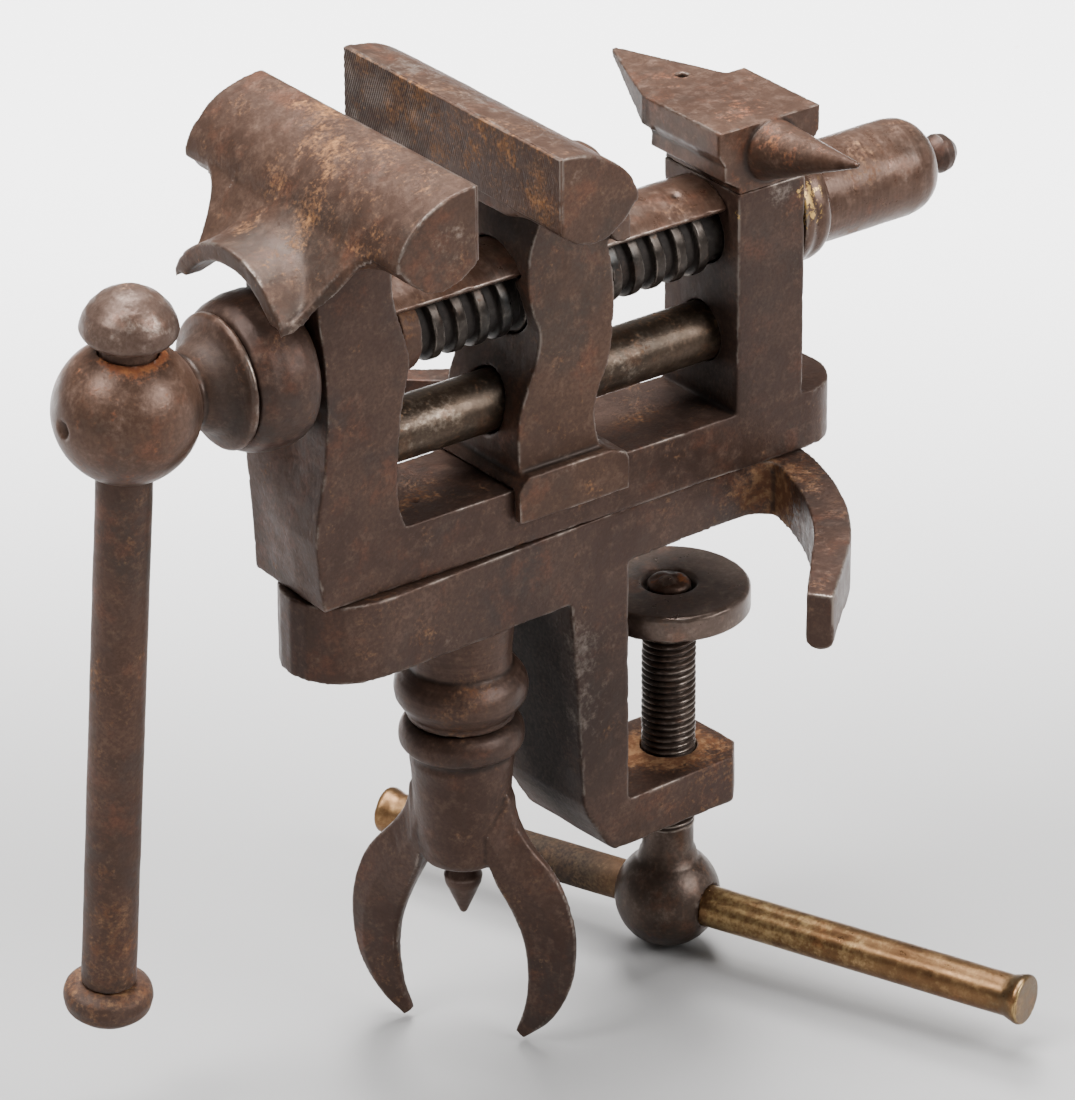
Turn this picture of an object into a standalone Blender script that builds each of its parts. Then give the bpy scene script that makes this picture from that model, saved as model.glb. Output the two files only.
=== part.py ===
"""Clamp-on bench vice of a jewellery maker: swivel head, sliding jaw, small anvil and C-clamp.

Sizes are in millimetres in the tables below and are turned into metres when a mesh is made.
X runs along the main screw (+X away from the ball handle), Y along the jaws, Z up.
The origin sits on the underside of the clamp bar, right above the clamp pad.
"""

from math import asin, cos, pi, radians, sin, sqrt

import bmesh
import bpy
from mathutils import Vector

MM = 0.001

# ---------------------------------------------------------------- main sizes, in mm
# These are in the bed's own frame: x = 0 near the front jaw, z = 0 at the bed's underside.
GAP = 0.3  # running and seating gap between touching pieces
HALF = 8.74  # half width of the bed and its uprights
BED_TOP = 9.2
FRONT_X, REAR_X0, REAR_X1 = -20.9, 52.35, 64.6  # outer front face, rear upright's faces
SCREW_Z, ROD_Z, ROD_R = 35.84, 19.64, 4.5
JAW_HALF, JAW_TOP, JAW_LOW = 25.5, 67.1, 54.1
FRONT_FACE, SLIDE_FACE = -5.8, 7.8  # clamping faces, 13.6 apart at rest
PITCH, THREAD_R, CORE_R = 3.9, 6.1, 4.95
PIVOT_X = 8.65  # swivel bolt
SWIVEL = radians(3.1)  # how far the clamp is turned from the bed at rest
CLAMP_SCREW_X = 39.9  # from the swivel bolt, along the clamp bar
BALL = Vector((-46.9, 0.0, SCREW_Z))  # centre of the ball that holds the tommy bar
BALL_R = 10.4
TOMMY_LEAN = radians(6.3)
CLAMP_BALL_Z, CLAMP_BALL_R = -74.37, 8.05
BRASS_ANGLE = radians(-71.4)  # brass bar's direction, in the clamp's frame

seat_x = PIVOT_X + CLAMP_SCREW_X * cos(SWIVEL)
seat_y = CLAMP_SCREW_X * sin(SWIVEL)
SEAT = Vector((seat_x, seat_y, -8.85))  # becomes the origin


def world(x, y, z):
    return (Vector((x, y, z)) - SEAT) * MM


# ---------------------------------------------------------------- scene and helpers
for old in list(bpy.data.objects):
    bpy.data.objects.remove(old, do_unlink=True)

scene = bpy.context.scene
parts = bpy.data.collections.new("table_vice")
cutters = bpy.data.collections.new("cutters")
scene.collection.children.link(parts)
scene.collection.children.link(cutters)
cutters.hide_render = True

MATERIALS = {
    "iron": ((0.085, 0.058, 0.043), 0.55, 0.75),
    "rusty_iron": ((0.14, 0.068, 0.035), 0.75, 0.45),
    "worn_steel": ((0.17, 0.15, 0.13), 0.38, 0.95),
    "dark_steel": ((0.075, 0.066, 0.06), 0.45, 0.9),
    "brass": ((0.34, 0.22, 0.08), 0.4, 1.0),
}


def material_of(kind, name):
    colour, rough, metal = MATERIALS[kind]
    made = bpy.data.materials.new(name)
    made.use_nodes = True
    shader = made.node_tree.nodes["Principled BSDF"]
    shader.inputs["Base Color"].default_value = (*colour, 1.0)
    shader.inputs["Roughness"].default_value = rough
    shader.inputs["Metallic"].default_value = metal
    return made


def add_object(name, mesh, kind, at, parent=None, turn=(0, 0, 0)):
    """A part when kind is given, or a hidden cutter."""
    obj = bpy.data.objects.new(name, mesh)
    obj.location = at
    obj.rotation_euler = turn
    if parent:
        obj.parent = parent
    if kind:
        parts.objects.link(obj)
        mesh.materials.append(material_of(kind, name))
    else:
        cutters.objects.link(obj)
        obj.hide_render = True
        obj.display_type = "WIRE"
    return obj


def mesh_from(name, points, faces):
    mesh = bpy.data.meshes.new(name)
    mesh.from_pydata([Vector(p) * MM for p in points], [], faces)
    bm = bmesh.new()
    bm.from_mesh(mesh)
    bmesh.ops.recalc_face_normals(bm, faces=bm.faces)
    bm.to_mesh(mesh)
    bm.free()
    return mesh


def prism(name, outline, plane, low, high, kind=None, at=None, parent=None, turn=(0, 0, 0)):
    """A flat outline given in plane (XY, XZ or YZ), pushed out from low to high along the third axis."""
    place = {
        "XY": lambda a, b, c: (a, b, c),
        "XZ": lambda a, b, c: (a, c, b),
        "YZ": lambda a, b, c: (c, a, b),
    }[plane]
    count = len(outline)
    points = [place(a, b, low) for a, b in outline] + [place(a, b, high) for a, b in outline]
    faces = [list(range(count)), list(range(count, 2 * count))]
    for i in range(count):
        j = (i + 1) % count
        faces.append([i, j, count + j, count + i])
    at = world(0, 0, 0) if at is None else at
    return add_object(name, mesh_from(name, points, faces), kind, at, parent, turn)


def box(name, low, high, kind=None, at=None, parent=None, turn=(0, 0, 0)):
    (x0, y0, z0), (x1, y1, z1) = low, high
    outline = [(x0, y0), (x1, y0), (x1, y1), (x0, y1)]
    return prism(name, outline, "XY", z0, z1, kind, at, parent, turn)


def lathe(name, profile, at, kind=None, axis="Z", steps=32, ring=False, parent=None, turn=None):
    """A turned piece. profile holds (radius, height), down the outer side from top to bottom."""
    mesh = bpy.data.meshes.new(name)
    edges = [(i, i + 1) for i in range(len(profile) - 1)]
    if ring:
        edges.append((len(profile) - 1, 0))
    mesh.from_pydata([Vector((r, 0, h)) * MM for r, h in profile], edges, [])
    turn = turn or {"Z": (0, 0, 0), "X": (0, pi / 2, 0)}[axis]
    obj = add_object(name, mesh, kind, at, parent, turn)
    spin = obj.modifiers.new("turned", "SCREW")
    spin.axis = "Z"
    spin.steps = spin.render_steps = steps
    spin.use_merge_vertices = True
    spin.merge_threshold = 0.00001
    weld = obj.modifiers.new("weld", "WELD")
    weld.merge_threshold = 0.000002
    return obj


def rod(name, radius, low, high, at, kind=None, axis="Z", steps=32, parent=None, turn=None):
    profile = [(0, high), (radius, high), (radius, low), (0, low)]
    return lathe(name, profile, at, kind, axis, steps, parent=parent, turn=turn)


def tube(name, inner, outer, low, high, at, kind=None, axis="Z", steps=32):
    profile = [(outer, high), (outer, low), (inner, low), (inner, high)]
    return lathe(name, profile, at, kind, axis, steps, ring=True)


def loft(name, rings, kind=None, at=None, parent=None, turn=(0, 0, 0)):
    """A skin over rings of equally many points, with flat ends."""
    count = len(rings[0])
    points = [p for ring in rings for p in ring]
    faces = [list(range(count)), list(range(len(points) - count, len(points)))]
    for i in range(len(rings) - 1):
        for j in range(count):
            k = (j + 1) % count
            a, b = i * count, (i + 1) * count
            faces.append([a + j, a + k, b + k, b + j])
    at = world(0, 0, 0) if at is None else at
    return add_object(name, mesh_from(name, points, faces), kind, at, parent, turn)


def boolean(obj, other, operation):
    step = obj.modifiers.new(operation.lower(), "BOOLEAN")
    step.operation = operation
    step.object = other
    step.solver = "EXACT"


def cut(obj, *others):
    for other in others:
        boolean(obj, other, "DIFFERENCE")


def join(obj, *others):
    for other in others:
        boolean(obj, other, "UNION")


def arc(centre, radius, start, end, steps):
    """Points on an arc; angles in degrees."""
    cx, cy = centre
    turns = [radians(start + (end - start) * i / steps) for i in range(steps + 1)]
    return [(cx + radius * cos(t), cy + radius * sin(t)) for t in turns]


def curve(points, steps=4):
    """A smooth line through points (Catmull-Rom)."""
    ends = [points[0], *points, points[-1]]
    made = []
    for a, b, c, d in zip(ends, ends[1:], ends[2:], ends[3:]):
        for i in range(steps):
            t = i / steps
            made.append(
                tuple(
                    0.5 * (2 * q + (r - p) * t + (2 * p - 5 * q + 4 * r - s) * t**2
                           + (3 * q - p - 3 * r + s) * t**3)
                    for p, q, r, s in zip(a, b, c, d)
                )
            )
    return [*made, points[-1]]


def mirrored(points):
    return points + [(x, -y) for x, y in reversed(points) if abs(y) > 1e-6]


def helix(name, centre_x, radius_in, radius_out, width, pitch, turns, at, steps=13):
    """A right-hand square rib around the X axis, as a hidden piece to join to a core."""
    rings = []
    for i in range(int(turns * steps) + 1):
        angle = 2 * pi * (i + 0.37) / steps
        x = centre_x + pitch * i / steps
        rings.append([
            (x + side * width / 2, r * cos(angle), r * sin(angle))
            for side, r in ((-1, radius_in), (1, radius_in), (1, radius_out), (-1, radius_out))
        ])
    return loft(name, rings, at=at)


# ---------------------------------------------------------------- jaw heads
def smooth_max(a, b, blend):
    h = max(blend - abs(a - b), 0.0) / blend
    return max(a, b) + h * h * blend / 4


def jaw_head(name, face, way, vault_r, vault_z, inner_r, inner_z, lip, wall, kind):
    """A wide jaw bar whose rounded back runs into a short half-round vault over the screw.

    face is the clamping face's x, way the side its back is on. The head is a top skin and an
    underside skin over one grid: u is the distance behind the face, v is y. wall is the u
    at which the open vault starts, in front of the upright that carries the bar.
    """
    bar, reach = 13.7, 24.2
    edge = sqrt(vault_r**2 - (lip - vault_z) ** 2)
    inner_edge = sqrt(inner_r**2 - (lip - inner_z) ** 2)
    side = HALF + 0.36

    def back(v):
        if abs(v) <= edge:
            return reach
        t = min(1.0, (abs(v) - edge) / 8.0)
        return 14.2 + (reach - 14.7) * (1 - sqrt(1 - (1 - t) ** 2))

    def top(u, v):
        if u < bar:
            over_bar = 57 + (JAW_TOP - 57) * sqrt(max(0.0, 1 - (u / bar) ** 2))
        else:
            over_bar = 57 - 0.9 * (u - bar)
        over_vault = vault_z + sqrt(max(0.0, vault_r**2 - v**2)) - 2 * max(0.0, abs(v) - vault_r)
        return smooth_max(over_bar, over_vault, 4.0)

    def under(u, v):
        low = JAW_LOW - (JAW_LOW - lip) * min(1.0, max(0.0, (u - 13.2) / 8.3))
        if u < wall - 0.15:
            height = JAW_LOW if abs(v) < side + 0.1 else low
        elif abs(v) < inner_edge:
            height = max(low, inner_z + sqrt(inner_r**2 - v**2))
        else:
            height = low
        return min(height, top(u, v) - 1.5)

    half = [0, 2.6, 5.0, 7.0, side - 0.2, side + 0.3]
    half += [v for v in (inner_edge - 0.05, (inner_edge + edge) / 2, edge - 0.02) if v > side + 0.4]
    half += [edge + d for d in (0.15, 0.6, 1.4, 2.8, 5.0, 8.0)] + [JAW_HALF - 1.5, JAW_HALF]
    lines = [-v for v in reversed(half[1:])] + half
    shares = [0, 0.11, 0.22, 0.33, 0.42, 0.49, 0.545, 0.59, (wall - 0.3) / reach, wall / reach]
    shares += [s for s in (0.7, 0.78, 0.86, 0.94) if s > wall / reach + 0.02] + [1.0]
    rows, columns = len(lines), len(shares)
    points = []
    for height in (top, under):
        for v in lines:
            for share in shares:
                u = share * back(v)
                points.append((face + way * u, v, height(u, v)))
    layer = rows * columns
    faces = []
    for i in range(rows - 1):
        for j in range(columns - 1):
            a = i * columns + j
            quad = [a, a + 1, a + columns + 1, a + columns]
            faces += [quad, [layer + k for k in quad]]
    rim = [j for j in range(columns)]
    rim += [i * columns + columns - 1 for i in range(1, rows)]
    rim += [(rows - 1) * columns + j for j in range(columns - 2, -1, -1)]
    rim += [i * columns for i in range(rows - 2, 0, -1)]
    for a, b in zip(rim, rim[1:] + rim[:1]):
        faces.append([a, b, layer + b, layer + a])
    return add_object(name, mesh_from(name, points, faces), kind, world(0, 0, 0))


front_jaw = jaw_head("front_jaw", FRONT_FACE, -1, 14.7, 40.35, 12.63, 39.97, 47.5, 15.4, "iron")

# ---------------------------------------------------------------- bed with its two uprights
rear_end = curve([(67.6, -HALF), (71.2, -6.4), (73.1, -3.2), (73.7, 0)], 3)
bed_plan = [(FRONT_X, HALF), (FRONT_X, -HALF), *rear_end, *[(x, -y) for x, y in reversed(rear_end[:-1])]]
bed_frame = prism("bed_frame", bed_plan, "XY", 0.15, BED_TOP, "iron", at=world(0, 0, 0))

front_inner = curve([
    (-6.7, BED_TOP), (-7.9, 14), (-7.8, 21.5), (-6.8, 28.9), (-5.6, 34), (-6.2, 37.4), (-7.4, 41.4),
    (-8.3, 45.5), (-8.5, 53.8),
], 3)
front_upright = [(FRONT_X, 4.0), (-6.7, 4.0), *front_inner, (FRONT_X, 53.8)]
rear_upright = [(REAR_X0, 4.0), (REAR_X1, 4.0), (REAR_X1, 44.0), (REAR_X0, 44.0)]
join(
    bed_frame,
    prism("front_upright", front_upright, "XZ", -HALF, HALF),
    prism("rear_upright", rear_upright, "XZ", -HALF, HALF),
)
cut(
    bed_frame,
    rod("front_bore", 6.35, -25, -2, world(0, 0, SCREW_Z), axis="X"),
    rod("rear_bore", 5.2, 48, 68, world(0, 0, SCREW_Z), axis="X"),
    rod("rod_bore", ROD_R + GAP, -17.3, 68, world(0, 0, ROD_Z), axis="X", steps=24),
    rod("bolt_socket", 3.5, -2, 7.5, world(PIVOT_X, 0, 0), steps=24),
)

guide_rod = rod("guide_rod", ROD_R, -17.0, 64.3, world(0, 0, ROD_Z), "worn_steel", axis="X")

# ---------------------------------------------------------------- screw cover, fixed between the uprights
COVER_IN, COVER_OUT, COVER_SPAN = 6.9, 8.3, 50
cover = arc((0, SCREW_Z), COVER_OUT, 90 - COVER_SPAN, 90 + COVER_SPAN, 14)
cover += arc((0, SCREW_Z), COVER_IN, 90 + COVER_SPAN, 90 - COVER_SPAN, 14)
screw_cover = prism("screw_cover", cover, "YZ", -6.9, 52.05, "iron")

# ---------------------------------------------------------------- sliding jaw
sliding_jaw = jaw_head("sliding_jaw", SLIDE_FACE, 1, 10.3, 44.2, 8.6, 43.4, 43.5, 21.3, "iron")
body_front = curve([
    (13.0, 11.8), (12.9, 17), (13.3, 20.6), (14.6, 24.2), (16.2, 28.2), (16.8, 32.2), (15.5, 36.0),
    (14.8, 41), (15.3, 45.5), (17.2, 50.5), (18.0, 56),
], 3)
body_rear = curve([
    (24.5, 56), (28.2, 50), (28.8, 44), (29.9, 36.5), (29.8, 30), (28.9, 24.4), (27.2, 20.6), (26.5, 17),
    (27.3, 12.4), (28.4, 10.0),
], 3)
jaw_body = [(12.9, 9.5), *body_front, *body_rear, (28.6, 9.5)]
foot = [
    (11.7, 4.5), (31.3, 4.5), (31.3, 9.6), (30.7, 10.6), (28.0, 11.6), (13.6, 11.6), (12.3, 10.6), (11.7, 9.6),
]
foot_piece = prism("jaw_foot", foot, "XZ", -10.6, 10.6)
cut(foot_piece, box("foot_channel", (5, -HALF - GAP, -2), (40, HALF + GAP, BED_TOP + GAP)))
slot = arc((0, SCREW_Z), 8.6, 90 - COVER_SPAN - 3, 90 + COVER_SPAN + 3, 14)
slot += arc((0, SCREW_Z), 5.0, 90 + COVER_SPAN + 3, 90 - COVER_SPAN - 3, 14)
join(sliding_jaw, prism("jaw_body", jaw_body, "XZ", -HALF, HALF), foot_piece)
cut(
    sliding_jaw,
    rod("nut_bore", THREAD_R + 0.25, 5, 36, world(0, 0, SCREW_Z), axis="X"),
    rod("jaw_rod_bore", ROD_R + GAP, 5, 36, world(0, 0, ROD_Z), axis="X", steps=24),
    prism("cover_slot", slot, "YZ", 5, 36),
)

# ---------------------------------------------------------------- main screw and its collars
SHOULDER, THREAD_START, THREAD_END, TAIL = -5.3, -1.5, 51.2, 88.0


def ball_arc(centre, radius, low_r, high_r, steps):
    """(radius, height) down a ball's side, from the upper neck radius to the lower one."""
    start = asin(min(1.0, high_r / radius))
    end = pi - asin(min(1.0, low_r / radius))
    turns = [start + (end - start) * i / steps for i in range(steps + 1)]
    return [(radius * sin(t), centre + radius * cos(t)) for t in turns]


screw_profile = [(0, TAIL), (3.9, TAIL), (CORE_R - 0.05, TAIL - 1)]
screw_profile += [(CORE_R, SHOULDER), (6.0, SHOULDER), (6.0, -31.6), (9.6, -31.6), (9.75, -32.2)]
screw_profile += [(9.1, -33.2), (7.6, -34.6), (5.9, -35.9), (5.1, -37.0)]
screw_profile += ball_arc(BALL.x, BALL_R, 1.3, 5.2, 10) + [(0, BALL.x - 9.4)]
main_screw = lathe("main_screw", screw_profile, world(0, 0, SCREW_Z), "dark_steel", axis="X", steps=24)
thread_turns = (THREAD_END - THREAD_START - 2.1) / PITCH
rib = helix(
    "screw_rib", THREAD_START + 1.05, CORE_R - 0.5, THREAD_R, 1.9, PITCH, thread_turns, world(0, 0, SCREW_Z)
)
join(main_screw, rib)
tommy_turn = (TOMMY_LEAN, 0, 0)
PIN_X = (SHOULDER + THREAD_START) / 2
cut(
    main_screw,
    rod("tommy_hole", 4.3, -14, 14, world(*BALL), turn=tommy_turn),
    rod("pin_hole", 1.1, -9, 9, world(PIN_X, 0, SCREW_Z), steps=12),
)

thrust_profile = [
    (9.7, -21.2), (10.9, -22.4), (11.4, -24.4), (11.4, -27.0), (10.9, -29.4), (10.0, -31.3), (6.3, -31.3),
    (6.3, -21.2),
]
thrust_collar = lathe("thrust_collar", thrust_profile, world(0, 0, SCREW_Z), "iron", axis="X", ring=True)

retaining_collar = tube(
    "retaining_collar", CORE_R + GAP, 6.5, SHOULDER + 0.3, THREAD_START - 0.3, world(0, 0, SCREW_Z),
    "rusty_iron", axis="X",
)
cut(retaining_collar, rod("collar_pin_hole", 1.1, -9, 9, world(PIN_X, 0, SCREW_Z), steps=12))
retaining_pin = rod("retaining_pin", 0.8, -6.3, 6.3, world(PIN_X, 0, SCREW_Z), "worn_steel", steps=12)

# ---------------------------------------------------------------- tommy bar with its two knobs
tommy_profile = [
    (0, 17.0), (2.5, 17.0), (2.5, 11.3), (4.0, 11.3), (4.0, -95.2), (2.5, -95.2), (2.5, -99.0), (0, -99.0)
]
tommy_bar = lathe("tommy_bar", tommy_profile, world(*BALL), "iron", steps=28, turn=tommy_turn)
top_knob_profile = [
    (0, 19.8), (2.2, 19.5), (4.6, 17.6), (6.5, 15.3), (6.95, 14.2), (6.5, 13.2), (5.0, 12.0), (4.6, 11.6),
    (2.8, 11.6), (2.8, 17.4), (0, 17.4),
]
tommy_top_knob = lathe("tommy_top_knob", top_knob_profile, world(*BALL), "worn_steel", steps=28, turn=tommy_turn)
end_knob_profile = [
    (0, -99.4), (2.8, -99.4), (2.8, -95.5), (4.7, -95.5), (6.2, -96.4), (6.6, -97.8), (6.2, -99.6),
    (4.6, -101.0), (2.4, -101.6), (0, -101.7),
]
tommy_end_knob = lathe("tommy_end_knob", end_knob_profile, world(*BALL), "iron", steps=28, turn=tommy_turn)

# ---------------------------------------------------------------- rear barrel
barrel_profile = [
    (1.8, 93.0), (4.2, 92.9), (6.0, 92.0), (7.1, 90.2), (7.4, 88.0), (7.4, 64.9), (5.2, 64.9), (5.2, 89.0),
    (1.8, 89.0),
]
screw_barrel = lathe("screw_barrel", barrel_profile, world(0, 0, SCREW_Z), "iron", axis="X", ring=True)
bead_profile = [
    (7.9, 70.2), (8.7, 69.4), (9.0, 68.2), (8.8, 66.9), (9.1, 66.0), (9.1, 64.9), (7.7, 64.9), (7.7, 70.2),
]
barrel_bead = lathe("barrel_bead", bead_profile, world(0, 0, SCREW_Z), "iron", axis="X", ring=True)
finial_profile = [
    (0, 99.7), (1.6, 99.3), (2.8, 97.9), (3.0, 96.6), (2.4, 95.2), (1.9, 94.5), (2.3, 93.3), (1.5, 93.3),
    (1.5, 89.6), (0, 89.6),
]
barrel_finial = lathe("barrel_finial", finial_profile, world(0, 0, SCREW_Z), "iron", axis="X", steps=20)

# ---------------------------------------------------------------- anvil on the rear upright
ANVIL_TOP, ANVIL_HALF = 54.4, 8.65
anvil_side = [
    (48.8, ANVIL_TOP), (67.0, ANVIL_TOP), (67.0, 50.4), (66.0, 49.0), (65.8, 47.0), (64.4, 45.2), (64.4, 44.3),
    (52.5, 44.3), (52.5, 45.0), (49.9, 46.6), (49.8, 49.0), (48.8, 50.6),
]
anvil = prism("anvil", anvil_side, "XZ", -ANVIL_HALF, ANVIL_HALF, "iron")


def pike_ring(y, left, right, low):
    return [(left, y, low), (right, y, low), (right, y, ANVIL_TOP), (left, y, ANVIL_TOP)]


pike = loft("pike", [pike_ring(7.0, 48.8, 64.6, 49.6), pike_ring(9.5, 48.9, 63.3, 49.8),
                     pike_ring(26.2, 56.1, 56.9, 53.5)])


def bick_ring(share, steps=20):
    """A slice of the round bick, whose upper line stays level with the anvil's top."""
    radius = 4.9 * (1 - share) + 0.4 * share
    y = -7.5 - 20.6 * share
    height = ANVIL_TOP - 0.2 - radius
    turns = [2 * pi * i / steps for i in range(steps)]
    return [(58.2 + radius * cos(t), y, height + radius * sin(t)) for t in turns]


bick = loft("bick", [bick_ring(s) for s in (0, 0.12, 0.35, 0.7, 0.95, 1.0)])
join(anvil, pike, bick)
cut(anvil, box("pike_hole", (-1.1, -1.1, 40), (1.1, 1.1, 60), at=world(58.0, 11.8, 0), turn=(0, 0, radians(8))))

# ---------------------------------------------------------------- swivel bolt, collar and wing nut
PIVOT = world(PIVOT_X, 0, 0)
bolt_profile = [
    (0, 7.0), (3.2, 7.0), (3.2, -52.9), (2.3, -53.8), (2.2, -54.6), (2.9, -56.0), (2.7, -57.2), (0.5, -62.3),
    (0, -62.6),
]
pivot_bolt = lathe("pivot_bolt", bolt_profile, PIVOT, "iron", steps=24)
collar_profile = [
    (8.1, -12.75), (7.8, -15.0), (7.3, -18.0), (7.7, -20.3), (9.1, -22.3), (9.7, -24.4), (9.5, -26.3), (8.6, -28.0),
    (7.6, -29.2), (3.5, -29.2), (3.5, -12.75),
]
pivot_collar = lathe("pivot_collar", collar_profile, PIVOT, "iron", ring=True)
nut_profile = [
    (7.6, -29.5), (8.5, -31.0), (8.8, -32.4), (8.4, -34.6), (7.3, -35.9), (7.1, -37.5), (6.7, -43.0), (6.0, -48.5),
    (5.4, -52.7), (3.5, -52.7), (3.5, -29.5),
]
wing_nut = lathe("wing_nut", nut_profile, PIVOT, "iron", ring=True)
wing_outer = curve([
    (5.6, -38.4), (7.7, -41.0), (8.4, -45.0), (11.0, -49.5), (14.8, -54.0), (17.2, -60.0), (17.8, -66.0),
    (16.8, -72.5), (13.8, -78.3), (9.6, -82.0),
], 2)
wing_inner = curve([
    (8.3, -80.8), (9.6, -77.0), (10.3, -72.0), (9.9, -66.0), (8.2, -60.5), (6.2, -56.0), (5.4, -53.1), (4.6, -50.5),
], 2)
WING_TURN = radians(-58)
for number in range(2):
    blade = prism(
        f"wing_{number}", [*wing_outer, *wing_inner, (4.6, -38.4)], "XZ", -1.9, 1.9, at=PIVOT,
        turn=(0, 0, WING_TURN + pi * number),
    )
    join(wing_nut, blade)

# ---------------------------------------------------------------- clamp frame, turned about the swivel bolt
clamp_axis = bpy.data.objects.new("clamp_axis", None)
clamp_axis.location = PIVOT
clamp_axis.rotation_euler = (0, 0, SWIVEL)
parts.objects.link(clamp_axis)
CLAMP_HALF, BAR_LOW, REAR_LOW, FOOT_TOP, FOOT_LOW = 9.3, -12.44, -8.85, -48.44, -56.2
ZERO = Vector((0, 0, 0))

bar_front = mirrored([(-18.0, -CLAMP_HALF), (-24.0, -8.6), (-28.4, -6.0), (-30.4, -2.6), (-30.8, 0)])
clamp_frame = prism(
    "clamp_frame", [(53.0, CLAMP_HALF), (53.0, -CLAMP_HALF), *bar_front], "XY", REAR_LOW, -0.15, "iron",
    at=ZERO, parent=clamp_axis,
)


def crescent_side(centre, radius, angle, tail, steps):
    """An arc about the bar's middle line that runs on straight for tail at both horns."""
    t = radians(angle)
    tip_x = centre + radius * cos(t) - tail * sin(t)
    tip_y = radius * sin(t) + tail * cos(t)
    return [(tip_x, -tip_y), *arc((centre, 0), radius, -angle, angle, steps), (tip_x, tip_y)]


crescent = crescent_side(4.65, 52.65, 50.6, 13.5, 22) + list(reversed(crescent_side(2.4, 48.9, 45.5, 15.9, 22)))
leg = [
    (-17.0, BAR_LOW), (13.3, BAR_LOW), (14.6, -30), (15.5, -46.5), (21.5, FOOT_LOW), (48.2, FOOT_LOW),
    (48.2, FOOT_TOP), (24.3, FOOT_TOP), (24.1, -4.0), (-17.0, -4.0),
]
front_pad = [(-16.5, CLAMP_HALF), (-16.5, -CLAMP_HALF), *bar_front]
join(
    clamp_frame,
    prism("crescent", crescent, "XY", REAR_LOW, -0.15, at=ZERO, parent=clamp_axis),
    prism("leg", leg, "XZ", -CLAMP_HALF, CLAMP_HALF, at=ZERO, parent=clamp_axis),
    prism("bar_nose", front_pad, "XY", BAR_LOW, -4.0, at=ZERO, parent=clamp_axis),
)
for side in (-1, 1):
    corner = [(44.6, side * 9.4), (49.5, side * 9.4), (49.5, side * 4.4)]
    cut(clamp_frame, prism(f"foot_corner_{side + 1}", corner, "XY", -60, -44, at=ZERO, parent=clamp_axis))
cut(
    clamp_frame,
    rod("pivot_hole", 3.6, -20, 4, ZERO, parent=clamp_axis, steps=24),
    rod("clamp_nut_bore", 4.35, -60, -44, Vector((CLAMP_SCREW_X, 0, 0)) * MM, parent=clamp_axis, steps=24),
)

# ---------------------------------------------------------------- clamp pad, screw and brass bar
CLAMP_AT = Vector((CLAMP_SCREW_X, 0, 0)) * MM
PAD_TOP, PAD_LOW = -21.1, -25.1
pad_profile = [
    (11.7, PAD_TOP), (12.2, PAD_TOP - 0.5), (12.2, PAD_LOW + 0.3), (11.9, PAD_LOW), (2.3, PAD_LOW), (2.3, -22.3),
    (3.4, -22.3), (4.3, PAD_TOP),
]
clamp_pad = lathe("clamp_pad", pad_profile, CLAMP_AT, "dark_steel", ring=True, steps=40, parent=clamp_axis)

CLAMP_PITCH, CLAMP_R = 1.05, 4.1
clamp_profile = [(0, -20.3), (1.8, -20.6), (2.8, -21.5), (2.9, -22.0), (2.0, -22.0), (2.0, -25.4), (3.6, -25.4)]
ridge = -25.9
while ridge > -61.0:
    clamp_profile += [(CLAMP_R, ridge), (CLAMP_R - 0.62, ridge - CLAMP_PITCH / 2)]
    ridge -= CLAMP_PITCH
clamp_profile += [(CLAMP_R, ridge), (3.9, ridge - 0.5), (3.9, -65.6), (4.3, -66.6)]
clamp_profile += ball_arc(CLAMP_BALL_Z, CLAMP_BALL_R, 0.0, 4.6, 9)[:-1] + [(0, CLAMP_BALL_Z - CLAMP_BALL_R)]
clamp_screw = lathe("clamp_screw", clamp_profile, CLAMP_AT, "dark_steel", steps=14, parent=clamp_axis)
brass_at = CLAMP_AT + Vector((0, 0, CLAMP_BALL_Z)) * MM
brass_turn = (pi / 2, 0, BRASS_ANGLE + pi / 2)
cut(clamp_screw, rod("brass_hole", 3.45, -14, 14, brass_at, parent=clamp_axis, turn=brass_turn, steps=24))
brass_profile = [
    (0, 61.4), (3.75, 61.4), (3.9, 60.7), (3.2, 58.6), (3.15, -48.2), (3.7, -50.0), (3.6, -50.8), (0, -50.8)
]
clamp_bar = lathe("clamp_bar", brass_profile, brass_at, "brass", steps=28, parent=clamp_axis, turn=brass_turn)
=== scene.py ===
"""Looks of the clamp-on bench vice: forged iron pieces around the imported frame, floor, light and camera.

Shapes are given in millimetres in the bed's own frame (x = 0 near the front jaw, z = 0 under the bed)
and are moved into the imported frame, in metres, when a mesh is made.
"""

from math import asin, cos, pi, radians, sin, sqrt

import bmesh
import bpy
import numpy as np
from mathutils import Matrix, Vector


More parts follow.
